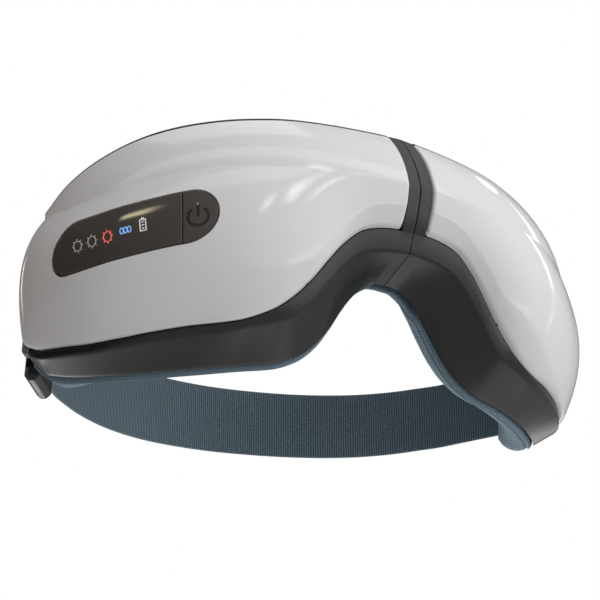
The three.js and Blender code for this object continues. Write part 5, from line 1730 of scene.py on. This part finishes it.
@dataclass(frozen=True)
class Softbox:
    """A lamp that the gloss mirrors.

    It has the place where it stands, its width and height in degrees, its colour, its distance in metres,
    its roll in degrees, the share of its width in which each edge fades, and the only pieces that it
    lights, if not all.
    """

    name: str
    azimuth: float
    elevation: float
    size: tuple[float, float]
    colour: Colour
    distance: float = 1.6
    roll: float = 0.0
    soft: float = 0.2
    only: tuple[str, ...] = ()


@dataclass
class Studio:
    """The camera, the lights and the pale floor."""

    place: tuple[float, float, float] = (-0.26907, -0.3592, -0.08405)
    right: tuple[float, float, float] = (0.8035, -0.5954, 0.0)
    up: tuple[float, float, float] = (-0.1624, -0.2192, 0.9621)
    forward: tuple[float, float, float] = (0.5728, 0.7730, 0.2728)
    lens: float = 84.0
    sensor: float = 36.0
    clip: tuple[float, float] = (0.01, 20.0)
    floor_size: float = 6.0
    floor_height: float = -0.45
    floor_colour: Colour = (0.7, 0.7, 0.7)
    middle: tuple[float, float, float] = (0.0, -0.04, 0.045)
    glows: tuple[Glow, ...] = (
        Glow(42, 6, 2, (1.46, 1.44, 1.46)),
        Glow(-75, 0, 2, (0.05, 0.03, 0.015)),
        Glow(35, 72, 2, (0.48, 0.47, 0.47)),
        Glow(180, -10, 2, (0.15, 0.145, 0.135)),
    )
    softboxes: tuple[Softbox, ...] = (
        Softbox("ceiling", 0, 90, (40, 28), (1.3, 1.3, 1.3), soft=0.05),
        Softbox("front_panel", -5, 54.5, (100, 13), (1.1, 1.1, 1.1), soft=0.08, only=SHELLS),
        Softbox("side_panel", -85, 52, (50, 8), (0.24, 0.22, 0.2), soft=0.1, only=SHELLS),
        Softbox("window_left", 4, 32, (5, 17), (4.6, 4.8, 5.3), roll=-20, soft=0.45),
        Softbox("window_middle", 16, 36, (9, 17), (5.4, 5.7, 6.3), roll=-20, soft=0.4),
        Softbox("window_right", 27, 32, (5, 17), (3.6, 3.8, 4.2), roll=-20, soft=0.45),
        Softbox("bridge_strip", 40, -6, (50, 6), (1.6, 1.6, 1.64), roll=16, soft=0.4),
        Softbox("right_strip_high", 96, 25, (4.5, 28), (3.0, 3.1, 3.4), roll=-43, soft=0.45),
        Softbox("right_strip_low", 77, 5, (3.5, 28), (1.2, 1.25, 1.4), roll=-43, soft=0.45),
        Softbox("right_lamp", 106, 38, (10, 4), (6.0, 5.7, 4.9), soft=0.35),
        Softbox("left_lamp", -51.2, 38.3, (13.4, 4.2), (11.5, 9.8, 6.2), soft=0.22, only=("window_glass",)),
        Softbox("left_slit", -141, 11, (5, 28), (6.5, 5.7, 5.2), soft=0.3),
        Softbox("rim_light", 118, -18, (30, 20), (1.4, 1.4, 1.4), 0.4, soft=0.4),
        Softbox("floor_right", 112, -58, (90, 44), (0.9, 0.9, 0.9), 0.4, soft=0.35),
        Softbox("floor_back", 182, -42, (44, 32), (4.6, 4.6, 4.6), 0.4, soft=0.3),
    )

    def camera(self) -> None:
        """The camera at the photograph's viewing angle."""
        data = bpy.data.cameras.new("view")
        data.lens, data.sensor_width = self.lens, self.sensor
        data.clip_start, data.clip_end = self.clip
        camera = bpy.data.objects.new("view", data)
        back = [-value for value in self.forward]
        turned = Matrix((self.right, self.up, back)).transposed().to_4x4()
        camera.matrix_world = Matrix.Translation(self.place) @ turned
        bpy.context.scene.collection.objects.link(camera)
        bpy.context.scene.camera = camera

    def lamp(self, box: Softbox) -> None:
        """Hangs a softbox. Its power follows from its colour, which is its brightness, and its area."""
        data = bpy.data.lights.new(box.name, "AREA")
        data.shape = "RECTANGLE"
        data.size, data.size_y = (2 * box.distance * math.tan(math.radians(a / 2)) for a in box.size)
        level = max(box.colour)
        data.color = [part / level for part in box.colour]
        data.energy = level * math.pi * data.size * data.size_y
        data.use_nodes = True
        shader = Shader(data.node_tree)
        place = shader.node("SeparateXYZ", {0: shader.node("NewGeometry").outputs["Parametric"]})
        strength = None
        for part in place.outputs[:2]:
            edge = shader.maths("SUBTRACT", 0.5, shader.from_half(part))
            fade = shader.ranged(edge, 0.0, box.soft)
            strength = fade if strength is None else shader.maths("MULTIPLY", strength, fade)
        glow = shader.node("Emission", {"Color": (1, 1, 1), "Strength": strength})
        shader.node("OutputLight", {0: glow.outputs[0]})
        lamp = bpy.data.objects.new(box.name, data)
        away = towards(box.azimuth, box.elevation)
        lamp.location = Vector(self.middle) + away * box.distance
        turned = (-away).to_track_quat("-Z", "Y") @ Quaternion((0, 0, 1), math.radians(box.roll))
        lamp.rotation_euler = turned.to_euler()
        lamp.visible_camera = False
        if box.only:
            lit = bpy.data.collections.new(f"lit_by_{box.name}")
            for name in box.only:
                lit.objects.link(bpy.data.objects[name])
            lamp.light_linking.receiver_collection = lit
        bpy.context.scene.collection.objects.link(lamp)

    def world(self) -> None:
        """White for the camera, and the sum of the glows for everything else."""
        world = bpy.data.worlds.new("studio")
        bpy.context.scene.world = world
        world.use_nodes = True
        shader = Shader(world.node_tree)
        direction = shader.node("TexCoord").outputs["Generated"]
        total = None
        for glow in self.glows:
            facing = shader.node("VectorMath", {0: direction, 1: towards(glow.azimuth, glow.elevation)},
                                 operation="DOT_PRODUCT").outputs["Value"]
            share = shader.maths("POWER", shader.maths("MAXIMUM", facing, 0.0), glow.tightness)
            part = shader.node("VectorMath", {0: glow.colour, "Scale": share}, operation="SCALE").outputs[0]
            total = part if total is None else shader.node("VectorMath", {0: total, 1: part}).outputs[0]
        dim = shader.node("Background", {"Color": total, "Strength": 1.0})
        plain = shader.node("Background", {"Color": (1, 1, 1), "Strength": 1.0})
        seen = shader.node("LightPath").outputs["Is Camera Ray"]
        mix = shader.node("MixShader", {0: seen, 1: dim.outputs[0], 2: plain.outputs[0]})
        shader.node("OutputWorld", {0: mix.outputs[0]})

    def build(self) -> None:
        """Builds the studio."""
        bpy.context.scene.view_settings.view_transform = "Standard"
        self.camera()
        self.world()
        for box in self.softboxes:
            self.lamp(box)
        bpy.ops.object.select_all(action="DESELECT")
        bpy.ops.mesh.primitive_plane_add(size=self.floor_size, location=(0, 0, 0))
        floor = bpy.context.object
        floor.name = "studio_floor"
        floor.data.transform(Matrix.Translation((0, 0, self.floor_height)))
        material, shader = blank("studio_floor")
        surfaced(shader, {"Base Color": self.floor_colour, "Roughness": 0.9})
        floor.data.materials.append(material)
        floor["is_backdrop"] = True


def main() -> None:
    """Builds every sub-assembly round the frame."""
    logging.basicConfig(level=logging.INFO, format="%(name)s: %(message)s")
    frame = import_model()
    cad_box = [list(corner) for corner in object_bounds()]
    wardrobe = Wardrobe()
    panel = Panel()
    FrontShell().build(wardrobe, panel)
    Housing().build(wardrobe, panel)
    panel.build(wardrobe)
    Lining().build(wardrobe)
    HeadStrap().build(wardrobe)
    Crossings().build(wardrobe)
    dress_frame(frame, wardrobe)
    Studio().build()
    bpy.context.view_layer.update()
    visual_box = [list(corner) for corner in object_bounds()]
    for name, box in (("CAD", cad_box), ("visual", visual_box)):
        log.info("%s box: %s", name, [[round(value * 1000, 1) for value in corner] for corner in box])


if __name__ == "__main__":
    main()
